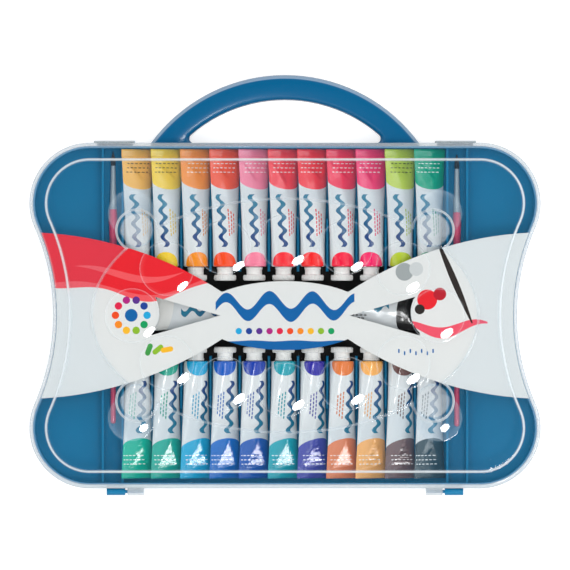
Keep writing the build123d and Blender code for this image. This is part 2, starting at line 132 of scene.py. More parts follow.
class TubeSettings(bpy.types.PropertyGroup):
    radius: length("Radius", "Radius of a small tube at its shoulder", 8.7)
    long_side: length("Length", "Length of a small tube from shoulder to fold", 84.0)
    fold: length("Fold", "Width of the folded end", 5.0)
    large_radius: length("Large radius", "Radius of a large tube at its shoulder", 10.8)
    large_fold: length("Large fold", "Width of a large tube's folded end", 6.0)
    lean: FloatProperty(name="Lean", description="Turn of a small tube's flat end about its own axis",
                        default=math.radians(34.5), subtype="ANGLE", unit="ROTATION")
    dent: length("Dents", "Depth of the dents in the metal", 0.38)
    lacquer: tint("Lacquer", "White lacquer of the tubes", "#DEE3E6")
    ribbon: tint("Ribbon", "Blue ribbon along each tube", "#0C3F7E")
    seed: IntProperty(name="Seed", description="Changes the unevenness of the tubes' print and metal",
                      default=7, min=1)


class PaintColour(bpy.types.PropertyGroup):
    name: StringProperty(name="Name", description="Name of the paint", default="Paint")
    colour: FloatVectorProperty(name="Colour", description="Colour of the paint's band", size=4, min=0.0,
                                max=1.0, subtype="COLOR", default=(0.5, 0.5, 0.5, 1.0))


class CapSettings(bpy.types.PropertyGroup):
    ribs: IntProperty(name="Ribs", description="Grip ribs round a small cap", default=30, min=3)
    large_ribs: IntProperty(name="Large ribs", description="Grip ribs round a large cap", default=36, min=3)
    rib_width: length("Rib width", "Width of a grip rib", 0.75)
    rib_depth: length("Rib depth", "How far a rib stands out", 0.3)
    white: tint("White", "Colour of the caps", "#F4F4F2")


class BrushSettings(bpy.types.PropertyGroup):
    handle_length: length("Handle length", "Length of the lacquered handle", 155.0)
    ferrule_length: length("Ferrule length", "Length of the metal ferrule", 31.5)
    tuft_length: length("Tuft length", "Length of the hair outside the ferrule", 10.4)
    hairs: IntProperty(name="Hairs", description="Hairs in each tuft", default=150, min=10)
    hair_radius: length("Hair radius", "Radius of one hair, drawn coarse enough to show", 0.09)
    seed: IntProperty(name="Seed", description="Changes where the hairs stand", default=3)
    lacquer: tint("Lacquer", "Colour of the handles", "#FF3E6C")


class StageSettings(bpy.types.PropertyGroup):
    camera_height: FloatProperty(name="Camera height", description="Height of the camera over the lid",
                                 default=5.0, min=0.5, subtype="DISTANCE", unit="LENGTH")
    frame_width: length("Frame width", "Width of the picture at the height of the card", 410.4)
    tent: FloatProperty(name="Tent", description="How much brighter low surroundings are in reflections",
                        default=1.9, min=1.0)
    sky: FloatProperty(name="Sky", description="Strength of the white surroundings", default=0.62, min=0.0)
    overhead: FloatProperty(name="Overhead", description="Radiance of the broad lamp overhead", default=5.0,
                            min=0.0)
    softbox: FloatProperty(name="Softbox", description="Radiance of the side lamps", default=2.0, min=0.0)
    corner: FloatProperty(name="Corner lamp", description="Radiance of the low lamp at the front right",
                          default=6.0, min=0.0)
    window: FloatProperty(name="Window", description="Radiance of the small lamp", default=22.0, min=0.0)


# ---- small tools -------------------------------------------------------------------------------------

def node(tree, kind, inputs=None, **settings):
    """Adds a node, sets its settings, and gives each named or numbered input a value, or a link from a socket
    or from the first output that another node has in use."""
    made = tree.nodes.new(kind)
    for key, value in settings.items():
        setattr(made, key, value)
    for key, value in (inputs or {}).items():
        if isinstance(value, bpy.types.Node):
            value = next(socket for socket in value.outputs if socket.enabled)
        if isinstance(value, bpy.types.NodeSocket):
            tree.links.new(value, made.inputs[key])
        else:
            made.inputs[key].default_value = value
    return made


def new_material(name):
    """An empty node material, its tree, and the place on the piece."""
    material = bpy.data.materials.new(name)
    material.use_nodes = True
    tree = material.node_tree
    tree.nodes.clear()
    return material, tree, node(tree, "ShaderNodeTexCoord").outputs["Object"]


def paint_node(name, material):
    """Gives a CAD node its material."""
    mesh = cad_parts[name].data
    mesh.materials.clear()
    mesh.materials.append(material)


def new_object(name, data):
    """An object in the scene."""
    made = bpy.data.objects.new(name, data)
    bpy.context.scene.collection.objects.link(made)
    return made


def add_piece(name, mesh, material, body, slot, *nodes):
    """Puts a finished mesh in the scene on its body, in place of the CAD nodes that it stands for."""
    if not mesh.materials:
        mesh.materials.append(material)
    mesh.polygons.foreach_set("use_smooth", [True] * len(mesh.polygons))
    piece = new_object(name, mesh)
    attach(piece, body)
    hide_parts(*nodes)
    return piece


@contextmanager
def edited(mesh):
    """Opens a mesh for bmesh work, and writes it back afterwards."""
    work = bmesh.new()
    work.from_mesh(mesh)
    yield work
    work.to_mesh(mesh)
    work.free()


def make_mesh(name, points, faces):
    """Mesh from points in millimetres about the middle of the case."""
    mesh = bpy.data.meshes.new(name)
    mesh.from_pydata([(x * MM, (y + CASE_MIDDLE_Y) * MM, z * MM) for x, y, z in points], [], faces)
    mesh.validate()
    return mesh


def inked_mesh(name, points, faces, colours):
    """Mesh with an ink colour for each face, and no loose points."""
    mesh = make_mesh(name, points, faces)
    layer = mesh.attributes.new("ink", "FLOAT_COLOR", "CORNER")
    for polygon, colour in zip(mesh.polygons, colours):
        for loop in polygon.loop_indices:
            layer.data[loop].color = colour
    with edited(mesh) as work:
        bmesh.ops.delete(work, geom=[v for v in work.verts if not v.link_faces], context="VERTS")
    return mesh


def mark_sharp(mesh, degrees):
    """Keeps an edge crisp where the surface turns by more than some degrees."""
    with edited(mesh) as work:
        for edge in work.edges:
            if len(edge.link_faces) == 2 and edge.calc_face_angle(0.0) > math.radians(degrees):
                edge.smooth = False


def smoothstep(x):
    """0 below 0, 1 above 1, and a smooth rise between."""
    x = min(max(x, 0.0), 1.0)
    return x * x * (3 - 2 * x)


def circle_points(x, y, radius, count=40):
    """Points round a circle."""
    return [(x + radius * math.cos(2 * math.pi * i / count), y + radius * math.sin(2 * math.pi * i / count))
            for i in range(count)]


def turned(profile, segments, axis_matrix):
    """Points and faces of a shape turned from (radius, height) pairs, closed on its axis at both ends."""
    points, faces, rings = [], [], []
    for radius, height in profile:
        if radius < 1e-6:
            rings.append([len(points)] * segments)
            points.append((0.0, 0.0, height))
            continue
        rings.append(list(range(len(points), len(points) + segments)))
        points += [(x, y, height) for x, y in circle_points(0.0, 0.0, radius, segments)]
    for lower, upper in zip(rings, rings[1:]):
        for i in range(segments):
            j = (i + 1) % segments
            corner = [lower[i], lower[j], upper[j], upper[i]]
            face = [v for k, v in enumerate(corner) if v not in corner[:k]]
            if len(face) > 2:
                faces.append(face)
    return [tuple(axis_matrix @ Vector(p)) for p in points], faces


def printed_triangles(loops, shapes, extra=()):
    """Triangles of a flat area cut along its print: points, triangles, and each triangle's ink or None.
    loops bound the area, a loop inside another is a hole, and a later shape covers an earlier one."""
    points, faces = [], []
    for loop in [*loops, *(shape for shape, _ in shapes)]:
        face = list(range(len(points), len(points) + len(loop)))
        area = sum(a[0] * b[1] - b[0] * a[1] for a, b in zip(loop, [*loop[1:], loop[0]]))
        faces.append(face if area > 0 else face[::-1])
        points += [Vector(p) for p in loop]
    points += [Vector(p) for p in extra]
    flat, _, triangles, sources, _, owners = geometry.delaunay_2d_cdt(points, [], faces, 1, 1e-5)
    kept, inks = [], []
    for triangle, inside in zip(triangles, owners):
        if sum(1 for f in inside if f < len(loops)) % 2 == 0:
            continue
        over = [f - len(loops) for f in inside if f >= len(loops)]
        kept.append(triangle)
        inks.append(shapes[max(over)][1] if over else None)
    return flat, kept, inks, sources


# ---- materials ---------------------------------------------------------------------------------------

# The handle, in metres: it begins between these two distances behind the origin. Its band follows a circle
# about a point of the middle line, is crowned across, and has a painted highlight outside its rim and above
# its brow.
HANDLE_START = (0.099, 0.104)
HANDLE_MIDDLE_Y, HANDLE_RADIUS, HANDLE_CROWN = 0.0306, 0.1121, 0.038
HANDLE_RIM, HANDLE_BROW = (0.1182, 0.1188), (0.0138, 0.0146)
# Its mould lines are softer than the tray's by this radius
HANDLE_SOFTNESS = 0.0004
# How much of the painted highlight on the handle's outer edge shows
RIM_HIGHLIGHT = 0.55


def toned(colour, factor, lift=0.0):
    """A colour made darker or lighter."""
    return (*(min(1.0, c * factor + lift) for c in colour[:3]), 1.0)


def tilted(tree, normal, lean):
    """A normal tilted by a vector that is given in object space."""
    aim = node(tree, "ShaderNodeVectorTransform", {"Vector": lean}, vector_type="VECTOR",
               convert_from="OBJECT", convert_to="WORLD")
    both = node(tree, "ShaderNodeVectorMath", {0: normal, 1: aim}, operation="ADD")
    return node(tree, "ShaderNodeVectorMath", {0: both}, operation="NORMALIZE")


def moulded_polypropylene(name, colour, edge, roughness=0.2, grained=None):
    """Injection-moulded polypropylene: satin, with a very fine spark-eroded grain and soft moulded edges.
    The handle, behind the case, can have a deeper, duller grained colour, and a painted highlight along its
    outer edge."""
    material, tree, place = new_material(name)
    # flow marks some 60 mm across shift the blue a little, and the grain is 0.5 mm
    flow = node(tree, "ShaderNodeTexNoise", {"Vector": place, "Scale": 16.0, "Detail": 2.0})
    grain = node(tree, "ShaderNodeTexNoise", {"Vector": place, "Scale": 2000.0, "Detail": 1.0})
    darker, lighter = toned(colour, 0.9), toned(colour, 1.08, 0.004)
    shade = node(tree, "ShaderNodeMix", {"Factor": flow, 6: darker, 7: lighter}, data_type="RGBA")
    gloss = node(tree, "ShaderNodeMapRange", {"Value": grain, "To Min": roughness - 0.03,
                                              "To Max": roughness + 0.05})
    if grained:
        apart = node(tree, "ShaderNodeSeparateXYZ", {"Vector": place})
        behind = node(tree, "ShaderNodeMapRange", {"Value": apart.outputs["Y"], "From Min": HANDLE_START[0],
                                                   "From Max": HANDLE_START[1]})
        shade = node(tree, "ShaderNodeMix", {"Factor": behind, 6: shade, 7: tuple(grained)}, data_type="RGBA")
        edge = node(tree, "ShaderNodeMath", {0: behind, 1: HANDLE_SOFTNESS, 2: edge},
                    operation="MULTIPLY_ADD")
    surface = node(tree, "ShaderNodeBevel", {"Radius": edge}, samples=4)
    if grained:
        across = node(tree, "ShaderNodeMapping", {"Vector": place, "Scale": (1.0, 1.0, 0.0),
                                                  "Location": (0.0, -HANDLE_MIDDLE_Y, 0.0)})
        reach = node(tree, "ShaderNodeVectorMath", {0: across}, operation="LENGTH")
        # painted highlight: a pale band on the handle's outer edge and top, for the light that its rounded
        # rim catches
        painted_rim = node(tree, "ShaderNodeMapRange", {"Value": reach, "From Min": HANDLE_RIM[0],
                                                   "From Max": HANDLE_RIM[1]})
        brow = node(tree, "ShaderNodeMapRange", {"Value": apart.outputs["Z"], "From Min": HANDLE_BROW[0],
                                                 "From Max": HANDLE_BROW[1]})
        for share in (brow, behind, RIM_HIGHLIGHT):
            painted_rim = node(tree, "ShaderNodeMath", {0: painted_rim, 1: share}, operation="MULTIPLY")
        shade = node(tree, "ShaderNodeMix", {"Factor": painted_rim, 6: shade, 7: linear("#A7BDD1")},
                     data_type="RGBA")
        # the band is crowned about its middle
        slope = node(tree, "ShaderNodeMath", {0: reach, 1: HANDLE_RADIUS}, operation="SUBTRACT")
        for share in (behind, 1 / HANDLE_CROWN):
            slope = node(tree, "ShaderNodeMath", {0: slope, 1: share}, operation="MULTIPLY")
        outwards = node(tree, "ShaderNodeVectorMath", {0: across}, operation="NORMALIZE")
        lean = node(tree, "ShaderNodeVectorMath", {0: outwards, "Scale": slope}, operation="SCALE")
        surface = tilted(tree, surface, lean)
    bumps = node(tree, "ShaderNodeBump", {"Height": grain, "Strength": 0.12, "Distance": 0.00005,
                                          "Normal": surface})
    shader = node(tree, "ShaderNodeBsdfPrincipled", {
        "Base Color": shade, "Roughness": gloss, "Normal": bumps, "IOR": 1.49, "Specular IOR Level": 0.25,
        "Coat Weight": 0.3, "Coat Roughness": 0.06, "Coat Normal": bumps})
    node(tree, "ShaderNodeOutputMaterial", {"Surface": shader})
    return material


def clear_polystyrene(name, veil, haze):
    """Clear moulded polystyrene: glossy and colourless face on, greyer through its edges, faintly blue where
    the haze layer is thin, and milky where it says that the wall is seen on edge, has a ground finish, or
    carries a painted highlight."""
    material, tree, place = new_material(name)
    facing = node(tree, "ShaderNodeLayerWeight", {"Blend": 0.5}).outputs["Facing"]
    # looked through on its edge, the plastic is thicker and takes on a grey-green tone
    thick = node(tree, "ShaderNodeMath", {0: facing, 1: 3.0}, operation="POWER")
    body = node(tree, "ShaderNodeMix", {"Factor": thick, 6: (0.99, 0.995, 0.995, 1.0), 7: linear("#9FB0B6")},
                data_type="RGBA")
    clear = node(tree, "ShaderNodeBsdfTransparent", {"Color": body})
    # round frosted pads on the oval's four lobes, and a fainter domed pad that shows outside each of them
    shifted = node(tree, "ShaderNodeVectorMath", {0: place, 1: (0.0, CASE_MIDDLE_Y * MM, 0.0)},
                   operation="SUBTRACT")
    folded = node(tree, "ShaderNodeVectorMath", {0: shifted}, operation="ABSOLUTE")
    level = node(tree, "ShaderNodeVectorMath", {0: folded, 1: (1.0, 1.0, 0.0)}, operation="MULTIPLY")
    lobe = node(tree, "ShaderNodeVectorMath", {0: level, 1: (LOBE[0] * MM, LOBE[1] * MM, 0.0)},
                operation="DISTANCE")
    aside = node(tree, "ShaderNodeVectorMath", {0: level, 1: (DOME[0] * MM, DOME[1] * MM, 0.0)},
                 operation="SUBTRACT")
    dome = node(tree, "ShaderNodeVectorMath", {0: aside}, operation="LENGTH")
    dome_edge = {"From Min": (DOME_RADIUS - 1.0) * MM, "From Max": DOME_RADIUS * MM}
    lobe_edge = {"From Min": LOBE_PAD[0] * MM, "From Max": LOBE_PAD[1] * MM}
    added = node(tree, "ShaderNodeAttribute", attribute_name="haze").outputs["Fac"]
    for reach, limits, strength in ((lobe, lobe_edge, LOBE_FROST), (dome, dome_edge, DOME_FROST)):
        pad = node(tree, "ShaderNodeMapRange", {"Value": reach, **limits, "To Min": strength, "To Max": 0.0})
        added = node(tree, "ShaderNodeMath", {0: added, 1: pad}, operation="ADD")
    # the dome's slope turns its gloss outwards
    on_dome = node(tree, "ShaderNodeMapRange", {"Value": dome, **dome_edge, "To Min": 1.0, "To Max": 0.0})
    slope = node(tree, "ShaderNodeMapRange", {"Value": lobe, "From Min": (LOBE_RADIUS + 1.0) * MM,
                                              "From Max": (LOBE_RADIUS + 1.5) * MM})
    slope = node(tree, "ShaderNodeMath", {0: on_dome, 1: slope}, operation="MULTIPLY")
    slope = node(tree, "ShaderNodeMath", {0: slope, 1: 1 / (DOME_CROWN * MM)}, operation="MULTIPLY")
    side = node(tree, "ShaderNodeVectorMath", {0: shifted}, operation="SIGN")
    outwards = node(tree, "ShaderNodeVectorMath", {0: aside, 1: side}, operation="MULTIPLY")
    lean = node(tree, "ShaderNodeVectorMath", {0: outwards, "Scale": slope}, operation="SCALE")
    domed = tilted(tree, node(tree, "ShaderNodeNewGeometry").outputs["Normal"], lean)
    # Schlick's curve for an index of 1.59
    grazing = node(tree, "ShaderNodeMath", {0: facing, 1: 5.0}, operation="POWER")
    mirror = node(tree, "ShaderNodeMapRange", {"Value": grazing, "To Min": 0.045, "To Max": 0.9})
    gloss = node(tree, "ShaderNodeBsdfGlossy", {"Color": (1.0, 1.0, 1.0, 1.0), "Roughness": 0.035,
                                                "Normal": domed})
    glassy = node(tree, "ShaderNodeMixShader", {"Fac": mirror, 1: clear, 2: gloss})
    # thin haze is bluish, and turns white as it thickens
    whiter = node(tree, "ShaderNodeMapRange", {"Value": added, "From Min": 0.08, "From Max": 0.17})
    scatter = node(tree, "ShaderNodeMix", {"Factor": whiter, 6: veil, 7: haze}, data_type="RGBA")
    milk = node(tree, "ShaderNodeBsdfDiffuse", {"Color": scatter, "Roughness": 0.0})
    glow = node(tree, "ShaderNodeBsdfTranslucent", {"Color": scatter})
    milky = node(tree, "ShaderNodeMixShader", {"Fac": 0.35, 1: milk, 2: glow})
    # fine scuffs of about 1 mm break the haze up
    scuffs = node(tree, "ShaderNodeTexNoise", {"Vector": place, "Scale": 700.0, "Detail": 3.0})
    uneven = node(tree, "ShaderNodeMapRange", {"Value": scuffs, "To Min": 0.85, "To Max": 1.15})
    amount = node(tree, "ShaderNodeMath", {0: added, 1: uneven}, operation="MULTIPLY", use_clamp=True)
    both = node(tree, "ShaderNodeMixShader", {"Fac": amount, 1: glassy, 2: milky})
    node(tree, "ShaderNodeOutputMaterial", {"Surface": both})
    return material


def thermoformed_polystyrene(name, colour, roughness, specular=0.5):
    """Vacuum-formed polystyrene sheet: even colour, slightly orange-peeled, with a soft gloss."""
    material, tree, place = new_material(name)
    # orange peel about 2.5 mm across
    peel = node(tree, "ShaderNodeTexNoise", {"Vector": place, "Scale": 420.0, "Detail": 2.0})
    darker, lighter = toned(colour, 0.88), toned(colour, 1.1, 0.002)
    shade = node(tree, "ShaderNodeMix", {"Factor": peel, 6: darker, 7: lighter}, data_type="RGBA")
    gloss = node(tree, "ShaderNodeMapRange", {"Value": peel, "To Min": roughness - 0.05,
                                              "To Max": roughness + 0.05})
    bumps = node(tree, "ShaderNodeBump", {"Height": peel, "Strength": 0.15, "Distance": 0.0001})
    shader = node(tree, "ShaderNodeBsdfPrincipled", {
        "Base Color": shade, "Roughness": gloss, "Normal": bumps, "Specular IOR Level": specular})
    node(tree, "ShaderNodeOutputMaterial", {"Surface": shader})
    return material


def coated_card(name):
    """Offset-printed, clear-coated card: the ink layer's flat colours over faint paper fibre."""
    material, tree, place = new_material(name)
    ink = node(tree, "ShaderNodeAttribute", attribute_name="ink").outputs["Color"]
    # fibres about 0.4 mm thick, stretched along the card's grain
    stretched = node(tree, "ShaderNodeMapping", {"Vector": place, "Scale": (0.4, 1.0, 1.0)})
    fibre = node(tree, "ShaderNodeTexNoise", {"Vector": stretched, "Scale": 1800.0, "Detail": 3.0})
    tone = node(tree, "ShaderNodeMapRange", {"Value": fibre, "To Min": 0.965, "To Max": 1.02})
    shade = node(tree, "ShaderNodeVectorMath", {0: ink, "Scale": tone}, operation="SCALE")
    gloss = node(tree, "ShaderNodeMapRange", {"Value": fibre, "To Min": 0.32, "To Max": 0.42})
    bumps = node(tree, "ShaderNodeBump", {"Height": fibre, "Strength": 0.08, "Distance": 0.00005})
    shader = node(tree, "ShaderNodeBsdfPrincipled", {
        "Base Color": shade, "Roughness": gloss, "Normal": bumps, "Specular IOR Level": 0.2})
    node(tree, "ShaderNodeOutputMaterial", {"Surface": shader})
    return material


def lacquered_aluminium(name):
    """Soft aluminium tube under printed lacquer: satin, with shallow finger creases in the metal."""
    material, tree, place = new_material(name)
    ink = node(tree, "ShaderNodeAttribute", attribute_name="ink").outputs["Color"]
    # creases 6 to 10 mm apart from handling, and the lacquer's own 0.7 mm orange peel
    creases = node(tree, "ShaderNodeTexVoronoi", {"Vector": place, "Scale": 120.0, "Smoothness": 0.5},
                   feature="SMOOTH_F1")
    peel = node(tree, "ShaderNodeTexNoise", {"Vector": place, "Scale": 1400.0, "Detail": 2.0})
    tone = node(tree, "ShaderNodeMapRange", {"Value": peel, "To Min": 0.95, "To Max": 1.03})
    shade = node(tree, "ShaderNodeVectorMath", {0: ink, "Scale": tone}, operation="SCALE")
    gloss = node(tree, "ShaderNodeMapRange", {"Value": peel, "To Min": 0.16, "To Max": 0.24})
    soft = node(tree, "ShaderNodeBump", {"Height": creases, "Strength": 0.25, "Distance": 0.0012})
    # a flat pressed into the metal faces the way that its facet layer points, the more the longer that is
    pressed = node(tree, "ShaderNodeAttribute", attribute_name="facet").outputs["Vector"]
    share = node(tree, "ShaderNodeVectorMath", {0: pressed}, operation="LENGTH")
    rest = node(tree, "ShaderNodeMath", {0: 1.0, 1: share}, operation="SUBTRACT", use_clamp=True)
    own = node(tree, "ShaderNodeVectorMath", {0: soft, "Scale": rest}, operation="SCALE")
    bumps = node(tree, "ShaderNodeBump", {"Height": peel, "Strength": 0.05, "Distance": 0.0001,
                                          "Normal": tilted(tree, own, pressed)})
    shader = node(tree, "ShaderNodeBsdfPrincipled", {
        "Base Color": shade, "Roughness": gloss, "Normal": bumps, "Specular IOR Level": 0.7,
        "Coat Weight": 0.5, "Coat Roughness": 0.12, "Coat Normal": bumps})
    node(tree, "ShaderNodeOutputMaterial", {"Surface": shader})
    return material


def moulded_polyethylene(name, colour):
    """Moulded polyethylene: waxy white, faintly clouded, with a little light carried inside it."""
    material, tree, place = new_material(name)
    # clouding about 4 mm across
    cloud = node(tree, "ShaderNodeTexNoise", {"Vector": place, "Scale": 260.0, "Detail": 2.0})
    shade = node(tree, "ShaderNodeMix", {"Factor": cloud, 6: toned(colour, 0.93), 7: tuple(colour)},
                 data_type="RGBA")
    gloss = node(tree, "ShaderNodeMapRange", {"Value": cloud, "To Min": 0.3, "To Max": 0.42})
    bumps = node(tree, "ShaderNodeBump", {"Height": cloud, "Strength": 0.08, "Distance": 0.0002})
    shader = node(tree, "ShaderNodeBsdfPrincipled", {
        "Base Color": shade, "Roughness": gloss, "Normal": bumps, "Subsurface Weight": 0.12,
        "Subsurface Radius": (0.002, 0.002, 0.002), "Subsurface Scale": 0.5})
    node(tree, "ShaderNodeOutputMaterial", {"Surface": shader})
    return material


def lacquered_beech(name, colour):
    """Dipped lacquer over a turned beech handle: deep and glossy, with the grain just telling through."""
    material, tree, place = new_material(name)
    # grain lines 0.8 mm apart that run along the handle
    along = node(tree, "ShaderNodeMapping", {"Vector": place, "Scale": (1.0, 0.04, 1.0)})
    grain = node(tree, "ShaderNodeTexNoise", {"Vector": along, "Scale": 1200.0, "Detail": 2.0})
    shade = node(tree, "ShaderNodeMix", {"Factor": grain, 6: toned(colour, 0.72), 7: tuple(colour)},
                 data_type="RGBA")
    bumps = node(tree, "ShaderNodeBump", {"Height": grain, "Strength": 0.06, "Distance": 0.0001})
    shader = node(tree, "ShaderNodeBsdfPrincipled", {
        "Base Color": shade, "Normal": bumps, "Roughness": 0.3, "Coat Weight": 0.7, "Coat Roughness": 0.06})
    node(tree, "ShaderNodeOutputMaterial", {"Surface": shader})
    return material


def drawn_aluminium(name):
    """Drawn and polished aluminium: bright, with fine lines round it from the drawing die."""
    material, tree, place = new_material(name)
    # die lines 0.25 mm apart across the ferrule's length
    lines = node(tree, "ShaderNodeMapping", {"Vector": place, "Scale": (0.05, 1.0, 0.05)})
    streaks = node(tree, "ShaderNodeTexNoise", {"Vector": lines, "Scale": 4000.0, "Detail": 2.0})
    gloss = node(tree, "ShaderNodeMapRange", {"Value": streaks, "To Min": 0.42, "To Max": 0.5})
    shade = node(tree, "ShaderNodeMix", {"Factor": streaks, 6: linear("#B4BFC4"), 7: linear("#CBD4D8")},
                 data_type="RGBA")
    shader = node(tree, "ShaderNodeBsdfPrincipled", {
        "Base Color": shade, "Roughness": gloss, "Metallic": 0.35})
    node(tree, "ShaderNodeOutputMaterial", {"Surface": shader})
    return material


def synthetic_bristle(name):
    """Nylon brush hair: dark brown, shiny, and paler in places."""
    material, tree, place = new_material(name)
    # paler patches of about 0.3 mm, two hairs wide
    split = node(tree, "ShaderNodeTexNoise", {"Vector": place, "Scale": 3000.0, "Detail": 1.0})
    shade = node(tree, "ShaderNodeMix", {"Factor": split, 6: linear("#1E1A1A"), 7: linear("#54463F")},
                 data_type="RGBA")
    shader = node(tree, "ShaderNodeBsdfPrincipled", {"Base Color": shade, "Roughness": 0.4})
    node(tree, "ShaderNodeOutputMaterial", {"Surface": shader})
    return material


def seamless_paper(name):
    """White seamless studio paper, which the camera and mirrors see a little brighter than its own shade."""
    material, tree, place = new_material(name)
    # tooth of 2 mm, coarser than the real one so that it shows at all
    tooth = node(tree, "ShaderNodeTexNoise", {"Vector": place, "Scale": 500.0, "Detail": 2.0})
    shade = node(tree, "ShaderNodeMix", {
        "Factor": tooth, 6: (0.62, 0.62, 0.62, 1.0), 7: (0.65, 0.65, 0.65, 1.0)}, data_type="RGBA")
    paper = node(tree, "ShaderNodeBsdfDiffuse", {"Color": shade})
    ray = node(tree, "ShaderNodeLightPath").outputs
    seen = node(tree, "ShaderNodeMath", {0: ray["Is Camera Ray"], 1: ray["Is Transmission Ray"]},
                operation="MAXIMUM")
    mirrored = node(tree, "ShaderNodeMath", {0: ray["Is Glossy Ray"], 1: MIRROR_LIFT}, operation="MULTIPLY")
    lift = node(tree, "ShaderNodeMath", {0: seen, 1: CAMERA_LIFT, 2: mirrored}, operation="MULTIPLY_ADD")
    glow = node(tree, "ShaderNodeEmission", {"Color": (1.0, 1.0, 1.0, 1.0), "Strength": lift})
    both = node(tree, "ShaderNodeAddShader", {0: paper, 1: glow})
    node(tree, "ShaderNodeOutputMaterial", {"Surface": both})
    return material


# ---- the case outline, as the tray and lid follow it -------------------------------------------------

CORNER_RADIUS = 43.5
CORNER_X, CORNER_Y = 140.5, 80.9
WAIST_HALF = 167.0
WAIST_STEP = WAIST_HALF - CORNER_X
WAIST_RADIUS = (WAIST_STEP**2 + CORNER_Y**2 - CORNER_RADIUS**2) / (2 * (CORNER_RADIUS - WAIST_STEP))
WAIST_X = WAIST_HALF + WAIST_RADIUS
WAIST_ANGLE = math.atan2(CORNER_Y, WAIST_X - CORNER_X)
HINGE_Y, HINGE_Z = -127.05, 18.5
# Each of these lies between two distances from the middle line: a lid knuckle, and the notch beside it that
# leaves room for the tray's own knuckle
KNUCKLE, NOTCH = (101.6, 113.6), (114.7, 129.2)


def mirrored_round(rising):
    """A closed outline from its first quarter, which rises from the X axis to the Y axis."""
    quarter = rising[::-1]
    return (rising + [(-x, y) for x, y in quarter[1:]] + [(-x, -y) for x, y in rising[1:]]
            + [(x, -y) for x, y in quarter[1:-1]])


def case_outline(inset):
    """Points round the case, moved inwards by inset, anticlockwise from above."""
    straight = [0, 24, 48, 72, 90, *KNUCKLE, NOTCH[0], NOTCH[0] + 0.02, NOTCH[1] - 0.02, NOTCH[1]]
    radius, reach = CORNER_RADIUS - inset, WAIST_RADIUS + inset
    quarter = [(x, CORNER_Y + radius) for x in straight]
    for i in range(37):
        angle = math.pi / 2 - (math.pi / 2 + WAIST_ANGLE) * i / 36
        quarter.append((CORNER_X + radius * math.cos(angle), CORNER_Y + radius * math.sin(angle)))
    for i in range(1, 21):
        angle = WAIST_ANGLE * (1 - i / 20)
        quarter.append((WAIST_X - reach * math.cos(angle), reach * math.sin(angle)))
    return mirrored_round(quarter[::-1])


# ---- the lid -----------------------------------------------------------------------------------------

# Half the mixing oval's length and width, and the middle of the lobe in each of its quarters
OVAL, LOBE, LOBE_RADIUS = (139.3, 84.2), (106.5, 61.4), 14.9
# A shallow dome lies half under each lobe
DOME, DOME_RADIUS, DOME_CROWN = (110.7, 73.6), 17.5, 80.0
# The frost on a lobe fades out between these two radii, and how strong it and the dome's frost are
LOBE_PAD, LOBE_FROST, DOME_FROST = (10.8, 12.6), 0.17, 0.07
# The ring that the wells stand on is an oval of this half length and half width
WELL_RING, WELL_COUNT = (110.0, 53.4), 12
# Haze of the thin wall, which makes a faint blue veil
VEIL = 0.055
# The skirt's lower edge in the notches
NOTCH_TOP = 21.75
# A knuckle's bore and outer radius, and how far its web reaches in and up
KNUCKLE_RADII, WEB_Y, WEB_TOP = (1.25, 2.65), -123.6, 21.15


class Shell:
    """A closed skin under construction: points, a haze value for each, and faces."""

    def __init__(self):
        self.points, self.haze, self.faces = [], [], []

    def ring(self, outline, height, haze):
        """Numbers of the points along an outline, whose height and haze are values or follow x and y."""
        start = len(self.points)
        for x, y in outline:
            self.points.append((x, y, height(x, y) if callable(height) else height))
            self.haze.append(haze(x, y) if callable(haze) else float(haze))
        return list(range(start, len(self.points)))

    def join(self, first, second, flip=False):
        """Quads from one ring to the next, which face up or out unless flipped."""
        for i in range(len(first)):
            j = (i + 1) % len(first)
            quad = [first[i], first[j], second[j], second[i]]
            self.faces.append(quad[::-1] if flip else quad)

    def fill(self, outer, holes, flip=False):
        """Flat area between rings that lie at one height."""
        order = [v for ring in (outer, *holes) for v in ring]
        loops = [[self.points[v][:2] for v in ring] for ring in (outer, *holes)]
        _, triangles, _, sources = printed_triangles(loops, [])
        for triangle in triangles:
            corner = [order[sources[v][0]] for v in triangle]
            self.faces.append(corner[::-1] if flip else corner)


def mixing_oval(inset):
    """Outline of the mixing oval and its four lobes, moved inwards by inset."""
    a, b, r = OVAL[0] - inset, OVAL[1] - inset, LOBE_RADIUS - inset
    lobe = Vector(LOBE)

    def on_oval(t):
        return Vector((a * math.cos(t), b * math.sin(t)))

    def crossing(low, high):
        """Where the oval meets the lobe, between a point outside the lobe and one inside."""
        for _ in range(50):
            middle = (low + high) / 2
            if (on_oval(middle) - lobe).length > r:
                low = middle
            else:
                high = middle
        return low

    nearest = math.atan2(lobe.y / b, lobe.x / a)
    first, second = crossing(0.0, nearest), crossing(math.pi / 2, nearest)
    start, end = on_oval(first) - lobe, on_oval(second) - lobe
    angle, stop = math.atan2(start.y, start.x), math.atan2(end.y, end.x) % (2 * math.pi)
    rising = [tuple(on_oval(first * i / 22)) for i in range(22)]
    for i in range(45):
        turn = angle + (stop - angle) * i / 44
        rising.append(tuple(lobe + r * Vector((math.cos(turn), math.sin(turn)))))
    rising += [tuple(on_oval(second + (math.pi / 2 - second) * i / 26)) for i in range(1, 27)]
    return mirrored_round(rising)


def well_centres():
    """Centres of the wells, evenly spaced along their ring."""
    (a, b), steps = WELL_RING, 4000
    track = [(a * math.cos(2 * math.pi * i / steps), b * math.sin(2 * math.pi * i / steps))
             for i in range(steps + 1)]
    reached = [0.0]
    for (x0, y0), (x1, y1) in zip(track, track[1:]):
        reached.append(reached[-1] + math.hypot(x1 - x0, y1 - y0))
    places, k = [], 0
    for i in range(WELL_COUNT):
        while reached[k] < reached[-1] * i / WELL_COUNT:
            k += 1
        places.append(track[k])
    return places


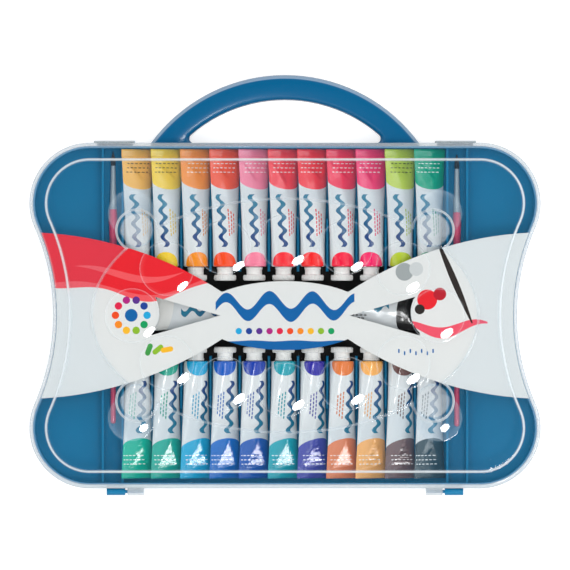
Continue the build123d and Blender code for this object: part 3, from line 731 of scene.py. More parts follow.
def lid_skin(shell, lid, wall, flip):
    """One skin of the lid: the outer for wall 0, or the inner, moved in and down by the wall. Returns its
    lowest ring."""
    def well_height(distance):
        return oval_top + rise * (1 - (distance / well) ** 2.4)

    def in_notch(x, y):
        return y < -100 and NOTCH[0] + 0.01 < abs(x) < NOTCH[1] - 0.01

    border = lid.border_height / MM - wall
    rise, bottom, well = lid.step_rise / MM, lid.skirt_bottom / MM, lid.well_radius / MM
    plateau_top, oval_top = border + rise, border + 2 * rise
    radius = lid.edge_radius / MM - wall
    veil = VEIL if wall == 0 else 0.0

    def edge_haze_and_highlight(share):
        # painted highlight: the haze is raised towards the hinge side, for the light that its edge catches
        # there
        return lambda x, y: share * (1.0 + 0.9 * smoothstep(-(y + 100.0) / 15.0))

    def lowest(x, y):
        return NOTCH_TOP if in_notch(x, y) else bottom

    # the skirt, then the rounded edge and the fine border line inside it
    rings = [shell.ring(case_outline(wall), height, edge_haze_and_highlight(share))
             for height, share in ((lowest, 0.42), (19.5, 0.16), (22.5, 0.1), (border - radius, 0.14))]
    for i in range(1, 7):
        turn = math.pi / 2 * i / 6
        rings.append(shell.ring(case_outline(wall + radius * (1 - math.cos(turn))),
                                border - radius + radius * math.sin(turn), edge_haze_and_highlight(0.34 - 0.02 * i)))
    rings.append(shell.ring(case_outline(3.4), border, 0.2 if wall == 0 else 0.0))
    rings.append(shell.ring(case_outline(4.2), border, veil))
    # the first step: milky haze all over its slope, which paints in the highlight line of its rounded edge
    middle, run = lid.plateau_inset / MM + 0.35 * wall, lid.step_run / MM
    milk = (0.0, 0.35, 0.8, 0.95, 1.0, 1.0, 0.95, 0.8, 0.35, 0.0)
    rings.append(shell.ring(case_outline(middle - run * 0.6), border, veil))
    for i, share in enumerate(milk):
        t = i / (len(milk) - 1)
        rings.append(shell.ring(case_outline(middle + run * (t - 0.5)), border + rise * smoothstep(t),
                                veil + (0.92 - veil) * share if wall == 0 else 0.25 * share))
    rings.append(shell.ring(case_outline(middle + run * 0.6), plateau_top, veil))
    for lower, upper in zip(rings, rings[1:]):
        shell.join(lower, upper, flip)
    # the oval's step: a painted highlight, a fine line of haze at its foot and at its brow, brightest on the
    # lobes' far sides
    run = lid.oval_run / MM
    glint = (0.3, 1.0, 0.6, 0.25, 0.6, 1.0, 0.3)

    def oval_haze_and_glint(share):
        def value(x, y):
            off_x, off_y = abs(x) - LOBE[0], abs(y) - LOBE[1]
            lobe = math.hypot(off_x, off_y) < LOBE_RADIUS + 1.2 and off_x > -4.0
            far = smoothstep(0.3 + 0.1 * off_x) if lobe else 0.0
            return share * (0.38 + 0.52 * far if wall == 0 else 0.1)
        return value

    oval = [shell.ring(mixing_oval(-0.65 * run + 0.35 * wall), plateau_top, veil)]
    for i, share in enumerate(glint):
        t = i / (len(glint) - 1)
        inset = run * (t - 0.5) + 0.35 * wall
        oval.append(shell.ring(mixing_oval(inset), plateau_top + rise * smoothstep(t), oval_haze_and_glint(share)))
    oval.append(shell.ring(mixing_oval(0.65 * run + 0.35 * wall), oval_top, 0.0))
    shell.fill(rings[-1], [oval[0]], flip)
    for lower, upper in zip(oval, oval[1:]):
        shell.join(lower, upper, flip)
    # shallow domed wells
    radii = (1.0, 0.985, 0.96, 0.92, 0.87, 0.8, 0.7, 0.58, 0.44, 0.28, 0.12)
    brims = []
    for x0, y0 in well_centres():
        previous = shell.ring(circle_points(x0, y0, well + 0.25, 60), oval_top, 0.0)
        brims.append(previous)
        for k, share in enumerate(radii):
            r = well * share
            # painted highlight: a faint line of haze round each well's brim
            line = 0.22 if k < 2 and wall == 0 else 0.0
            ring = shell.ring(circle_points(x0, y0, r, 60), well_height(r), line)
            shell.join(previous, ring, flip)
            previous = ring
        shell.points.append((x0, y0, well_height(0.0)))
        shell.haze.append(0.0)
        for i in range(60):
            face = [previous[i], previous[(i + 1) % 60], len(shell.points) - 1]
            shell.faces.append(face[::-1] if flip else face)
    shell.fill(oval[-1], brims, flip)
    return rings[0]


def add_knuckle(shell, x0, x1):
    """A lid knuckle with its bore, and the web that carries it."""
    bore, round_radius = KNUCKLE_RADII
    rings = []
    for radius, x in ((bore, x0), (round_radius, x0), (round_radius, x1), (bore, x1)):
        start = len(shell.points)
        shell.points += [(x, y, z) for y, z in circle_points(HINGE_Y, HINGE_Z, radius, 32)]
        shell.haze += [0.4] * 32
        rings.append(list(range(start, start + 32)))
    for first, second in zip(rings, rings[1:] + rings[:1]):
        shell.join(first, second, flip=True)
    start = len(shell.points)
    shell.points += [(x, y, z) for x in (x0, x1)
                     for y, z in ((HINGE_Y, HINGE_Z), (WEB_Y, HINGE_Z), (WEB_Y, WEB_TOP), (HINGE_Y, WEB_TOP))]
    shell.haze += [0.35] * 8
    for face in ((0, 3, 2, 1), (4, 5, 6, 7), (0, 1, 5, 4), (1, 2, 6, 5), (2, 3, 7, 6), (3, 0, 4, 7)):
        shell.faces.append([start + v for v in face])


class PAINTBOX_OT_lid(bpy.types.Operator):
    """Build the clear stepped lid with its mixing oval, wells and hinge knuckles"""
    bl_idname = "paintbox.lid"
    bl_label = "Clear Lid"

    def execute(self, context):
        lid = context.scene.paintbox_lid
        shell = Shell()
        outer = lid_skin(shell, lid, 0.0, False)
        inner = lid_skin(shell, lid, lid.wall / MM, True)
        shell.join(inner, outer)
        for sign in (-1, 1):
            add_knuckle(shell, *sorted(sign * x for x in KNUCKLE))
        mesh = make_mesh("clear_lid", shell.points, shell.faces)
        mesh.attributes.new("haze", "FLOAT", "POINT").data.foreach_set("value", shell.haze)
        mark_sharp(mesh, 50)
        clear = clear_polystyrene("clear_moulded_polystyrene", lid.veil, lid.haze)
        add_piece("clear_lid", mesh, clear, "lid", "lid_clear", "lid")
        return {"FINISHED"}


# ---- the case ----------------------------------------------------------------------------------------

class PAINTBOX_OT_case(bpy.types.Operator):
    """Finish the moulded tray, the black liner and the mixing dishes"""
    bl_idname = "paintbox.case"
    bl_label = "Case"

    def execute(self, context):
        case = context.scene.paintbox_case
        blue = moulded_polypropylene("blue_moulded_polypropylene", case.blue, case.edge, grained=case.grained)
        liner = thermoformed_polystyrene("black_thermoformed_polystyrene", case.liner, 0.5, 0.15)
        dish = moulded_polypropylene("grey_moulded_polypropylene", case.dish, case.edge, 0.28)
        for name, material in (("base_tray", blue), ("centre_tray", liner), ("palette_left", dish),
                               ("palette_right", dish)):
            paint_node(name, material)
        return {"FINISHED"}


class PAINTBOX_OT_latches(bpy.types.Operator):
    """Build the two clear latch flaps with rounded edges"""
    bl_idname = "paintbox.latches"
    bl_label = "Latches"

    def execute(self, context):
        lid = context.scene.paintbox_lid
        clear = clear_polystyrene("clear_latch_polystyrene", lid.veil, lid.latch_haze)
        for side in ("left", "right"):
            latch = f"latch_{side}"
            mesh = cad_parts[latch].data.copy()
            mesh.materials.clear()
            with edited(mesh) as work:
                bmesh.ops.remove_doubles(work, verts=work.verts, dist=1e-6)
                bmesh.ops.dissolve_limit(work, angle_limit=math.radians(3), verts=work.verts,
                                         edges=work.edges)
                bmesh.ops.triangulate(work, faces=[f for f in work.faces if len(f.verts) > 4])
            # milky along its top edge, clearer below 20 mm
            haze = [0.07 + 0.43 * smoothstep((vertex.co.z / MM - 20.0) / 8.0) for vertex in mesh.vertices]
            mesh.attributes.new("haze", "FLOAT", "POINT").data.foreach_set("value", haze)
            piece = add_piece(f"latch_flap_{side}", mesh, clear, latch, "lid_clear", latch)
            bevel = piece.modifiers.new("soft edges", "BEVEL")
            bevel.width, bevel.segments, bevel.limit_method = 0.25 * MM, 2, "ANGLE"
        return {"FINISHED"}


# ---- the printed card --------------------------------------------------------------------------------

def band_points(centre, half_width, start, end, count, along="x"):
    """Outline of a band whose middle and half width follow functions of the distance along it."""
    stops = [start + (end - start) * i / count for i in range(count + 1)]
    lower = [(s, centre(s) - half_width(s)) for s in stops]
    upper = [(s, centre(s) + half_width(s)) for s in stops]
    outline = lower + upper[::-1]
    return outline if along == "x" else [(y, x) for x, y in outline]


def bar_points(x, y, half_length, half_width, degrees):
    """Outline of a bar with round ends, turned by some degrees."""
    turn = math.radians(degrees)
    outline = []
    for side in (1, -1):
        for i in range(9):
            angle = math.pi / 2 * side - math.pi / 8 * i
            px = side * (half_length - half_width) + half_width * math.cos(angle)
            py = half_width * math.sin(angle)
            outline.append((x + px * math.cos(turn) - py * math.sin(turn),
                            y + px * math.sin(turn) + py * math.cos(turn)))
    return outline


def card_loops():
    """The card's cut edges, read from its CAD node, in millimetres about the middle of the case, and its
    lower and upper height."""
    work = bmesh.new()
    work.from_mesh(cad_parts["printed_sheet"].data)
    bmesh.ops.remove_doubles(work, verts=work.verts, dist=1e-6)
    top = max(v.co.z for v in work.verts)
    bottom = min(v.co.z for v in work.verts)
    flat = dict.fromkeys(f for f in work.faces if all(v.co.z > top - 1e-6 for v in f.verts))
    following = {}
    for face in flat:
        for loop in face.loops:
            if not any(f in flat for f in loop.edge.link_faces if f is not face):
                following[loop.vert] = loop.link_loop_next.vert
    loops = []
    while following:
        first, vert = next(iter(following.items()))
        line = [first]
        del following[first]
        while vert is not first:
            line.append(vert)
            vert = following.pop(vert)
        loops.append([(v.co.x / MM, v.co.y / MM - CASE_MIDDLE_Y) for v in line])
    work.free()
    return loops, bottom / MM, top / MM


def card_print(card):
    """Generic print for the card: colour fields, a wave, and rows of dots. Points are millimetres."""
    red, blue = tuple(card.red), tuple(card.blue)
    coral, dark, grey = linear("#F0585E"), linear("#2B2422"), linear("#9DA3A4")
    wheel = ("#1FA5D8", "#1B3F94", "#5B2E8C", "#B0217E", "#E0204A", "#EE4A1C", "#F68B1F", "#F7B92B",
             "#8DB92E", "#0E9C5C")
    shapes = []
    # left wing: a red field over a coral one, both with a wavy lower edge
    def lower_edge(x):
        return 18.5 + 4.2 * math.sin((x + 168) / 15.5) + 0.0016 * (x + 112) ** 2

    coral_edge = [(x, lower_edge(x) - 3.6 - 1.2 * math.sin(x / 9.0)) for x in range(-182, -53, 2)]
    red_edge = [(x, lower_edge(x)) for x in range(-182, -53, 2)]
    shapes.append((coral_edge + [(-54, 70), (-182, 70)], coral))
    shapes.append((red_edge + [(-54, 70), (-182, 70)], red))
    shapes.append((band_points(lambda x: lower_edge(x) + 11.0,
                               lambda x: 2.6 * math.sin((x + 152) / 80 * math.pi), -151.5, -72.5, 40), coral))
    # a ring of dots on the round window's card, like a colour wheel
    for i, ink in enumerate(wheel):
        angle = 2 * math.pi * i / len(wheel)
        shapes.append((circle_points(-110.7 + 11.4 * math.cos(angle), 0.2 + 11.4 * math.sin(angle), 2.7, 24),
                       linear(ink)))
    shapes.append((circle_points(-110.7, 0.2, 4.6), blue))
    # three leaves of colour under it
    for x, ink, turn in ((-98, "#3F9A48", 70), (-91.5, "#8DB92E", 40), (-85, "#F7B92B", 10)):
        shapes.append((bar_points(x, -24.5, 4.6, 1.9, turn), linear(ink)))
    # right wing: a dark stroke, a rosy wave and dabs of paint
    shapes.append((band_points(lambda x: -8.5 + 4.0 * math.sin((x - 70) / 9.0),
                               lambda x: 0.6 + 3.4 * math.sin((x - 84) / 62 * math.pi), 84.2, 145.8, 46),
                   linear("#EE5368")))
    shapes.append((band_points(lambda y: 124.0 - 0.42 * (y - 20),
                               lambda y: 0.5 + 2.0 * math.sin((y + 6) / 62 * math.pi), -5.5, 55.5, 40, "y"),
                   dark))
    for x, y, radius, ink in ((86.0, 31.5, 6.4, grey), (94.5, 33.5, 5.0, linear("#C9CDCE")),
                              (102.4, 11.5, 7.2, red), (111.5, 15.5, 4.6, linear("#B7182A")),
                              (97.0, 4.5, 3.6, dark)):
        shapes.append((circle_points(x, y, radius), ink))
    for i in range(7):
        shapes.append((bar_points(82.0 + 4.1 * i, -25.5 - (i % 2) * 1.6, 1.5, 0.55, 90), blue))
    # the oval in the middle: a thick blue wave, a row of dots and a blue foot
    shapes.append((band_points(lambda x: 6.6 + 6.4 * math.sin((x + 50) / 31 * 2 * math.pi),
                               lambda x: 3.0 + 1.8 * math.sin((x + 50) / 100 * math.pi), -50, 50, 150), blue))
    for i, ink in enumerate(wheel):
        shapes.append((circle_points(-33.3 + 7.4 * i, -11.2, 2.3, 24), linear(ink)))
    foot = [(x, -18.2 + 0.35 * math.sin(x / 5.0)) for x in range(-46, 47, 2)]
    shapes.append((foot + [(46, -27), (-46, -27)], blue))
    return shapes


class PAINTBOX_OT_card(bpy.types.Operator):
    """Build the printed card, cut along its print so that each ink has a crisp edge"""
    bl_idname = "paintbox.card"
    bl_label = "Printed Card"

    def execute(self, context):
        card = context.scene.paintbox_card
        loops, bottom, top = card_loops()
        # print that reaches past a cut edge is trimmed by it
        flat, triangles, inks, _ = printed_triangles(loops, card_print(card))
        paper = tuple(card.paper)
        points = [(p.x, p.y, z) for z in (top, bottom) for p in flat]
        count = len(flat)
        faces = [list(t) for t in triangles] + [[v + count for v in reversed(t)] for t in triangles]
        edges = dict.fromkeys(edge for a, b, c in triangles for edge in ((a, b), (b, c), (c, a)))
        faces += [[b, a, a + count, b + count] for a, b in edges if (b, a) not in edges]
        colours = [ink or paper for ink in inks] + [paper] * (len(faces) - len(inks))
        mesh = inked_mesh("printed_card", points, faces, colours)
        mark_sharp(mesh, 40)
        card_stock = coated_card("coated_printed_card")
        add_piece("printed_card", mesh, card_stock, "lid", "printed_card", "printed_sheet")
        return {"FINISHED"}


# ---- paint tubes -------------------------------------------------------------------------------------

# The folded end's thickness, the neck's radius and length, and the shoulder's inward step and height
SMALL_NECK = {"thickness": 1.8, "neck": 4.0, "neck_length": 7.4, "step": 1.6, "shoulder": 0.8}
LARGE_NECK = {"thickness": 2.0, "neck": 5.2, "neck_length": 10.4, "step": 2.2, "shoulder": 1.5}
# A large tube's length, and how much larger its print is than a small tube's
LARGE_LENGTH, LARGE_PRINT = 98.0, 1.15
# How far the shoulders of each row lie from the middle, and the middle of a large tube's shoulder
BACK_SHOULDER, FRONT_SHOULDER, LARGE_PLACE = 36.0, -33.6, (15.8, 4.8, 14.5)
# Middle of the small lamp, in metres, high in front and to the right
SMALL_LAMP = (0.5, -0.69, 2.9)
# How strongly the flat triangle beside the fold shows on each front tube; the back row's face away
CREASED = (0.35, 0.9, 0.8, 1.0, 0.7, 1.0, 0.55, 1.0, 0.4, 0.45, 0.0)


class TubeShape:
    """How a tube's unrolled skin lies in space. The skin runs from -half to half the round, and from below
    the shoulder, where it follows the neck, to the folded end."""

    def __init__(self, radius, length, fold, seed, dent, thickness, neck, neck_length, step, shoulder):
        self.radius, self.length, self.fold, self.thickness = radius, length, fold, thickness
        self.neck, self.neck_length, self.step, self.shoulder = neck, neck_length, step, shoulder
        self.seed, self.dent = seed, dent
        self.half = math.pi * radius
        # the folded end begins here
        self.flat = flat = length - fold
        # rows of points along the skin, closer where it bends
        self.rows = [-12.0, -11.4, -7.0, -5.6, -5.0, -4.0, -2.6, -1.6, -1.0, -0.5, 0.0, 0.8]
        self.rows += [2.0 + (flat - 29.0) * i / 18 for i in range(18)]
        self.rows += [flat - 27.0 + 1.2 * i for i in range(21)]
        self.rows += [flat - 2.0, flat - 1.3, flat - 0.7, flat - 0.25, flat, flat + 0.3, flat + 0.9]
        self.rows += [flat + 0.9 + (fold - 1.5) * i / 4 for i in range(1, 5)] + [length - 0.25, length]

    def folds(self, across, along):
        """Depth of the dents: the flat triangle that runs into the folded end, a crease from each corner of
        it, a crumple beside the fold, and loose finger dents."""
        left = self.flat - along
        share = along / self.flat
        own = Vector((self.seed * 3.1, self.seed * 1.3, 0.5))
        depth = 0.0
        tall, apex = 19.0 + 7.0 * noise.noise(own), 2.5 + 5.0 * noise.noise(own * 1.7)
        if 0.0 < left < tall:
            inside = 0.78 * self.half / 2 * (1 - left / tall) - abs(across - apex * left / tall)
            depth += 2.8 * smoothstep(inside / 3.2) * smoothstep(left / 4.0)
        for sign, lean, reach in ((-1, 0.28, 34.0), (1, 0.22, 27.0)):
            lean += 0.05 * noise.noise(own + Vector((0.0, sign, 0.0)))
            line = sign * (self.half / 2 - 1.5 - lean * left)
            if 0.0 < left < reach:
                fade = smoothstep((reach - left) / reach) * smoothstep(left / 3.0)
                depth += 1.5 * fade * math.exp(-((across - line) / 1.5) ** 2)
        crumple = noise.noise(Vector((across * 0.42, along * 0.3, self.seed * 4.1)))
        depth += 1.6 * max(0.0, crumple + 0.1) * smoothstep(1.0 - left / 18.0)
        bump = noise.noise(Vector((across * 0.11 + self.seed * 5.3, along * 0.075, self.seed * 1.7)))
        wide = noise.noise(Vector((across * 0.05 - self.seed * 2.3, along * 0.03, self.seed * 0.9)))
        return self.dent * (depth + smoothstep(share * 3.0) * (1.0 + 1.3 * bump + 1.2 * wide))

    def place(self, across, along):
        """Point of the skin, before the tube leans: x to its right edge, y along it, z out of its front."""
        phi = across / self.radius
        if along < 0:
            if along > -1.6:
                turn = math.pi / 2 * -along / 1.6
                r = self.radius - self.step * (1 - math.cos(turn)) * 0.9
                y = -self.shoulder * math.sin(turn)
            elif along > -5.0:
                share = (-along - 1.6) / 3.4
                r = (self.radius - self.step * 0.9) * (1 - share) + self.neck * share
                y = -self.shoulder
            else:
                r, y = self.neck, -self.shoulder - self.neck_length * (-along - 5.0) / 7.0
            return r * math.sin(phi), y, r * math.cos(phi)
        flat = self.flat
        share = min(1.0, along / flat)
        wide = self.radius + (math.pi * self.radius / 2 - self.radius) * share
        thick = self.radius + (self.thickness / 2 - self.radius) * share
        squareness = 2.0
        if along > flat - 2.5:
            squareness = 2.0 + 4.0 * smoothstep((along - flat + 2.5) / 2.5)
        if along <= flat:
            thick -= 0.28 * smoothstep((along - flat + 1.2) / 1.0)
        sine, cosine = math.sin(phi), math.cos(phi)
        power = 2.0 / squareness
        x = wide * math.copysign(abs(sine) ** power, sine)
        z = thick * math.copysign(abs(cosine) ** power, cosine)
        if along < flat:
            sunk = min(self.folds(across, along), 0.75 * max(0.0, thick - 0.3)) * abs(cosine)
            z -= math.copysign(sunk, cosine)
            x *= 1 - 0.012 * smoothstep(share * 4)
        elif along > self.length - 0.3:
            z *= 0.72
        return x, along, z


def tube_print(shape, colour, paper_ink, ribbon, tall, shift, column_side):
    """Generic print of one tube's skin: a colour band with a bulging edge, a patch at the shoulder, a blue
    wave along the front, and rows of fine dashes."""
    half, flat, radius = shape.half, shape.flat, shape.half / math.pi
    band_start = flat - 24.0 * tall
    shapes = []
    stops = [-half + 2 * half * i / 72 for i in range(73)]
    edge = [(u, band_start + 4.6 * (1 - math.cos((u - shift - 2.5) / radius))) for u in stops]
    shapes.append((edge + [(half, flat + 40), (-half, flat + 40)], colour))
    # the patch is a rounded cap over the shoulder
    centre = shift - 3.6
    patch = [(centre + 10.4 * tall * math.cos(math.pi * i / 24), 9.8 * tall * math.sin(math.pi * i / 24))
             for i in range(25)]
    patch += [(centre - 10.4 * tall, -2.5), (centre + 10.4 * tall, -2.5)]
    # painted sheen: the patch has a deeper shade of the band's colour, and the band's paler colour stands in
    # for the sheen of the flattened end
    shapes.append((patch, (*(max(0.0, 1.05 * c - 0.05) for c in colour[:3]), 1.0)))
    # the wave, which pales towards the fold in four parts
    middle = shift + (-3.3 if column_side > 0 else 2.4)
    start, end = 13.5 * tall, 13.5 * tall + 38.0 * tall
    for k in range(4):
        low, high = start + (end - start) * k / 4, start + (end - start) * (k + 1) / 4
        ink = tuple(deep * (1 - k / 3) + pale * k / 3 for deep, pale in zip(ribbon, linear("#1C7898")))
        shapes.append((band_points(
            lambda v: middle + 1.7 * math.sin((v - start) / (end - start) * 8 * math.pi), lambda v: 1.6,
            low, high, 22, "y"), ink))
    # a column of short dashes beside the wave
    column_ink = tuple(0.75 * c for c in colour[:3]) + (1.0,)
    for row in range(3):
        u = middle + column_side * (5.0 + 1.9 * row)
        for k in range(7 - row):
            v = start + 9.0 + 2.9 * k + 1.2 * row
            shapes.append((bar_points(u, v, 1.15, 0.42, 90), column_ink))
    # fine rows of dashes in the colour band
    for row in range(3):
        v = band_start + 12.5 + 3.1 * row
        for k in range(6):
            u = shift - 1.0 + column_side * 1.0 + (k - 2.5) * 2.5 + 0.6 * row
            shapes.append((bar_points(u, v, 0.85, 0.32, 0), paper_ink))
    return shapes


def pressed_facet(shape, local, spot, strength):
    """Which way the flats beside the fold face at a spot that is also given in the tube's own axes, with how
    strongly as its length. They catch the small lamp: a triangle that wrinkles across the tube break up, a
    streak down its left side and a small corner flat in the fold."""
    left = shape.flat - local.y
    if local.z < 0 or strength == 0 or not -3.0 < left < 30.0:
        return Vector((0.0, 0.0, 0.0))
    own = shape.seed * 2.7
    apex = 25.0 + 3.0 * noise.noise(Vector((own, 0.3, 0.0)))
    share = (left - 2.5) / (apex - 2.5)
    low_side, high_side = -9.0 + 11.0 * share, 11.0 - 9.5 * share
    inside = min(local.x - low_side, high_side - local.x, left - 2.5 - 0.15 * local.x, apex - left)
    wrinkle = noise.noise(Vector((local.x * 0.16 + own, local.y * 0.65, own)))
    fill = smoothstep(inside / 0.9) * smoothstep(2.5 * (strength - 0.35) + 0.5 + 2.2 * wrinkle)
    streak = smoothstep(1.5 - abs(local.x - low_side - 1.0)) * smoothstep(left - 1.5)
    streak *= smoothstep((0.7 * apex - left) / 4.0) * min(1.0, 1.8 * strength)
    corner = smoothstep(1.6 - max(abs(local.x + 9.0) / 1.8, abs(left + 0.4) / 1.2)) * (strength > 0.75)
    uneven = 0.03 * noise.noise_vector(Vector((local.x * 0.3, local.y * 0.5, own)))
    towards_lamp = (Vector(SMALL_LAMP) - spot).normalized()
    return max(fill, streak, corner) * ((towards_lamp + Vector((0.0, 0.0, 1.0))).normalized() + uneven)


def tube_mesh(name, shape, matrix, shapes, lacquer, flip, creased=0.0):
    """One tube, cut along its print, as a closed mesh."""
    half, rows, columns = shape.half, shape.rows, 44
    across = [-half + 2 * half * i / columns for i in range(columns + 1)]
    rim = [(u, rows[0]) for u in across] + [(half, v) for v in rows[1:-1]]
    rim += [(-u, rows[-1]) for u in across] + [(-half, v) for v in rows[-2:0:-1]]
    inner = [(u, v) for v in rows[1:-1] for u in across[1:-1]]
    flat, triangles, inks, _ = printed_triangles([rim], shapes, inner)
    points = [tuple(matrix @ Vector(shape.place(p.x, p.y))) for p in flat]
    faces = [list(t)[::-1] if flip else list(t) for t in triangles]
    mesh = inked_mesh(name, points, faces, [ink or lacquer for ink in inks])
    with edited(mesh) as work:
        bmesh.ops.remove_doubles(work, verts=work.verts, dist=2e-6)
        filled = bmesh.ops.holes_fill(work, edges=[e for e in work.edges if e.is_boundary], sides=0)
        ink = work.loops.layers.float_color["ink"]
        for face in filled["faces"]:
            for loop in face.loops:
                loop[ink] = lacquer
        bmesh.ops.recalc_face_normals(work, faces=work.faces)
    mark_sharp(mesh, 48)
    back = matrix.inverted()
    middle = Vector((0.0, CASE_MIDDLE_Y, 0.0))
    facets = [value for vertex in mesh.vertices
              for value in pressed_facet(shape, back @ (vertex.co / MM - middle), vertex.co, creased)]
    mesh.attributes.new("facet", "FLOAT_VECTOR", "POINT").data.foreach_set("vector", facets)
    return mesh


def tube_places():
    """Name, middle of the shoulder and direction of every small tube."""
    places = []
    for name, *_ in PAINTS:
        if name.startswith("large"):
            continue
        low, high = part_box(f"cap_{name}")
        x, z = (low.x + high.x) / 2 / MM, (low.z + high.z) / 2 / MM
        if name.startswith("back"):
            places.append((name, Vector((x, BACK_SHOULDER, z)), 1))
        else:
            places.append((name, Vector((x, FRONT_SHOULDER, z)), -1))
    return places


def large_places():
    """Name, middle of the shoulder and side of both large tubes."""
    x, y, z = LARGE_PLACE
    return (("large_white", Vector((-x, y, z)), -1), ("large_black", Vector((x, y, z)), 1))


class PAINTBOX_OT_tubes(bpy.types.Operator):
    """Build every paint tube with its crimped end, dents and print"""
    bl_idname = "paintbox.tubes"
    bl_label = "Paint Tubes"

    def execute(self, context):
        tubes = context.scene.paintbox_tubes
        inks = {name: (tuple(item.colour), linear(fine)) for (name, _, _, fine), item
                in zip(PAINTS, context.scene.paintbox_paints)}
        metal = lacquered_aluminium("printed_lacquered_aluminium")
        chance = random.Random(tubes.seed)
        # Blender's vector noise is different in each run unless it has a seed
        noise.seed_set(tubes.seed)
        lacquer, ribbon = tuple(tubes.lacquer), tuple(tubes.ribbon)
        for number, (name, place, way) in enumerate(tube_places()):
            shape = TubeShape(tubes.radius / MM, tubes.long_side / MM, tubes.fold / MM, number + 1,
                              tubes.dent / MM, **SMALL_NECK)
            lean = Matrix.Rotation(tubes.lean, 4, "Y")
            matrix = Matrix.Translation(place) @ Matrix.Diagonal((1, way, 1, 1)) @ lean
            print_shapes = tube_print(shape, *inks[name], ribbon, 1.0, chance.uniform(-2.2, 2.2), way)
            creased = CREASED[int(name[-2:]) - 1] if way < 0 else 0.0
            mesh = tube_mesh(f"paint_tube_{name}", shape, matrix, print_shapes, lacquer, way > 0, creased)
            add_piece(f"paint_tube_{name}", mesh, metal, "case", f"paint_{name}", f"tube_{name}")
        for name, place, side in large_places():
            shape = TubeShape(tubes.large_radius / MM, LARGE_LENGTH, tubes.large_fold / MM, 31 + side,
                              tubes.dent / MM, **LARGE_NECK)
            matrix = Matrix.Translation(place) @ Matrix.Rotation(-side * math.pi / 2, 4, "Z")
            print_shapes = tube_print(shape, *inks[name], ribbon, LARGE_PRINT, 2.0, 1)
            mesh = tube_mesh(f"paint_tube_{name}", shape, matrix, print_shapes, lacquer, True)
            slot = f"paint_{name.split('_')[1]}"
            add_piece(f"paint_tube_{name}", mesh, metal, "case", slot, f"tube_{name}")
        return {"FINISHED"}


# ---- caps --------------------------------------------------------------------------------------------

# A cap's open end and length along its tube, its outer radius, the length of its ribbed flange, the radii of
# its waist, foot ring and bore, and the foot ring's length
CAP_SIZES = {
    "small": {"start": 1.1, "length": 9.8, "radius": 8.0, "flange": 4.2, "waist": 5.6, "foot_radius": 6.0,
              "foot": 1.6, "bore": 4.08},
    "large": {"start": 1.8, "length": 13.4, "radius": 10.0, "flange": 5.0, "waist": 7.4, "foot_radius": 7.9,
              "foot": 2.0, "bore": 5.28},
}
# Thickness of a cap's closed end, and how many points stand round it
CAP_WALL, CAP_SEGMENTS = 1.6, 64


def group_tree(name, lengths, counts):
    """A Geometry Nodes tree with named inputs for its lengths and counts, and those inputs as sockets."""
    tree = bpy.data.node_groups.new(name, "GeometryNodeTree")
    kinds = {"Geometry": "NodeSocketGeometry", **dict.fromkeys(lengths, "NodeSocketFloat"),
             **dict.fromkeys(counts, "NodeSocketInt")}
    for key, kind in kinds.items():
        tree.interface.new_socket(key, in_out="INPUT", socket_type=kind)
    tree.interface.new_socket("Geometry", in_out="OUTPUT", socket_type="NodeSocketGeometry")
    return tree, node(tree, "NodeGroupInput").outputs


def end_tree(tree, geometry, material):
    """Ends a tree with real geometry that has its material."""
    solid = node(tree, "GeometryNodeRealizeInstances", {"Geometry": geometry})
    finish = node(tree, "GeometryNodeSetMaterial", {"Geometry": solid, "Material": material})
    node(tree, "NodeGroupOutput", {"Geometry": finish})


def rib_tree(material):
    """Geometry Nodes tree that sets grip ribs round a turned cap and gives it its material."""
    lengths = ("Radius", "Rib Width", "Rib Depth", "Rib Length", "Height")
    tree, given = group_tree("grip_ribs", lengths, ("Ribs",))
    circle = node(tree, "GeometryNodeMeshCircle", {"Vertices": given["Ribs"], "Radius": given["Radius"]})
    lifted = node(tree, "ShaderNodeCombineXYZ", {"Z": given["Height"]})
    raised = node(tree, "GeometryNodeTransform", {"Geometry": circle, "Translation": lifted})
    points = node(tree, "GeometryNodeMeshToPoints", {"Mesh": raised})
    # one rib is an eight-sided rod along the cap's axis, squashed to its width and depth
    rod = node(tree, "GeometryNodeMeshCylinder", {"Vertices": 8, "Radius": 0.5, "Depth": 1.0})
    rib_size = node(tree, "ShaderNodeCombineXYZ", {"X": given["Rib Depth"], "Y": given["Rib Width"],
                                                   "Z": given["Rib Length"]})
    rib = node(tree, "GeometryNodeTransform", {"Geometry": rod, "Scale": rib_size})
    place = node(tree, "GeometryNodeInputPosition")
    outwards = node(tree, "ShaderNodeVectorMath", {0: place, 1: (1.0, 1.0, 0.0)}, operation="MULTIPLY")
    turned_out = node(tree, "FunctionNodeAlignRotationToVector", {"Vector": outwards}, axis="X",
                      pivot_axis="Z")
    ribs = node(tree, "GeometryNodeInstanceOnPoints", {"Points": points, "Instance": rib,
                                                       "Rotation": turned_out})
    joined = node(tree, "GeometryNodeJoinGeometry")
    for part in (given["Geometry"], ribs.outputs["Instances"]):
        tree.links.new(part, joined.inputs["Geometry"])
    end_tree(tree, joined, material)
    return tree


def grown_mesh(name, seed_mesh, tree, values):
    """Runs a Geometry Nodes tree on a mesh and returns the result as a plain mesh."""
    carrier = new_object(name, seed_mesh)
    modifier = carrier.modifiers.new(name, "NODES")
    modifier.node_group = tree
    sockets = {item.name: item.identifier for item in tree.interface.items_tree if item.in_out == "INPUT"}
    for key, value in values.items():
        modifier[sockets[key]] = value
    bpy.context.view_layer.update()
    grown = carrier.evaluated_get(bpy.context.evaluated_depsgraph_get())
    mesh = bpy.data.meshes.new_from_object(grown)
    mesh.name = name
    carrier.modifiers.clear()
    bpy.data.objects.remove(carrier)
    if not mesh.polygons:
        raise RuntimeError(f"{name} came out empty")
    return mesh


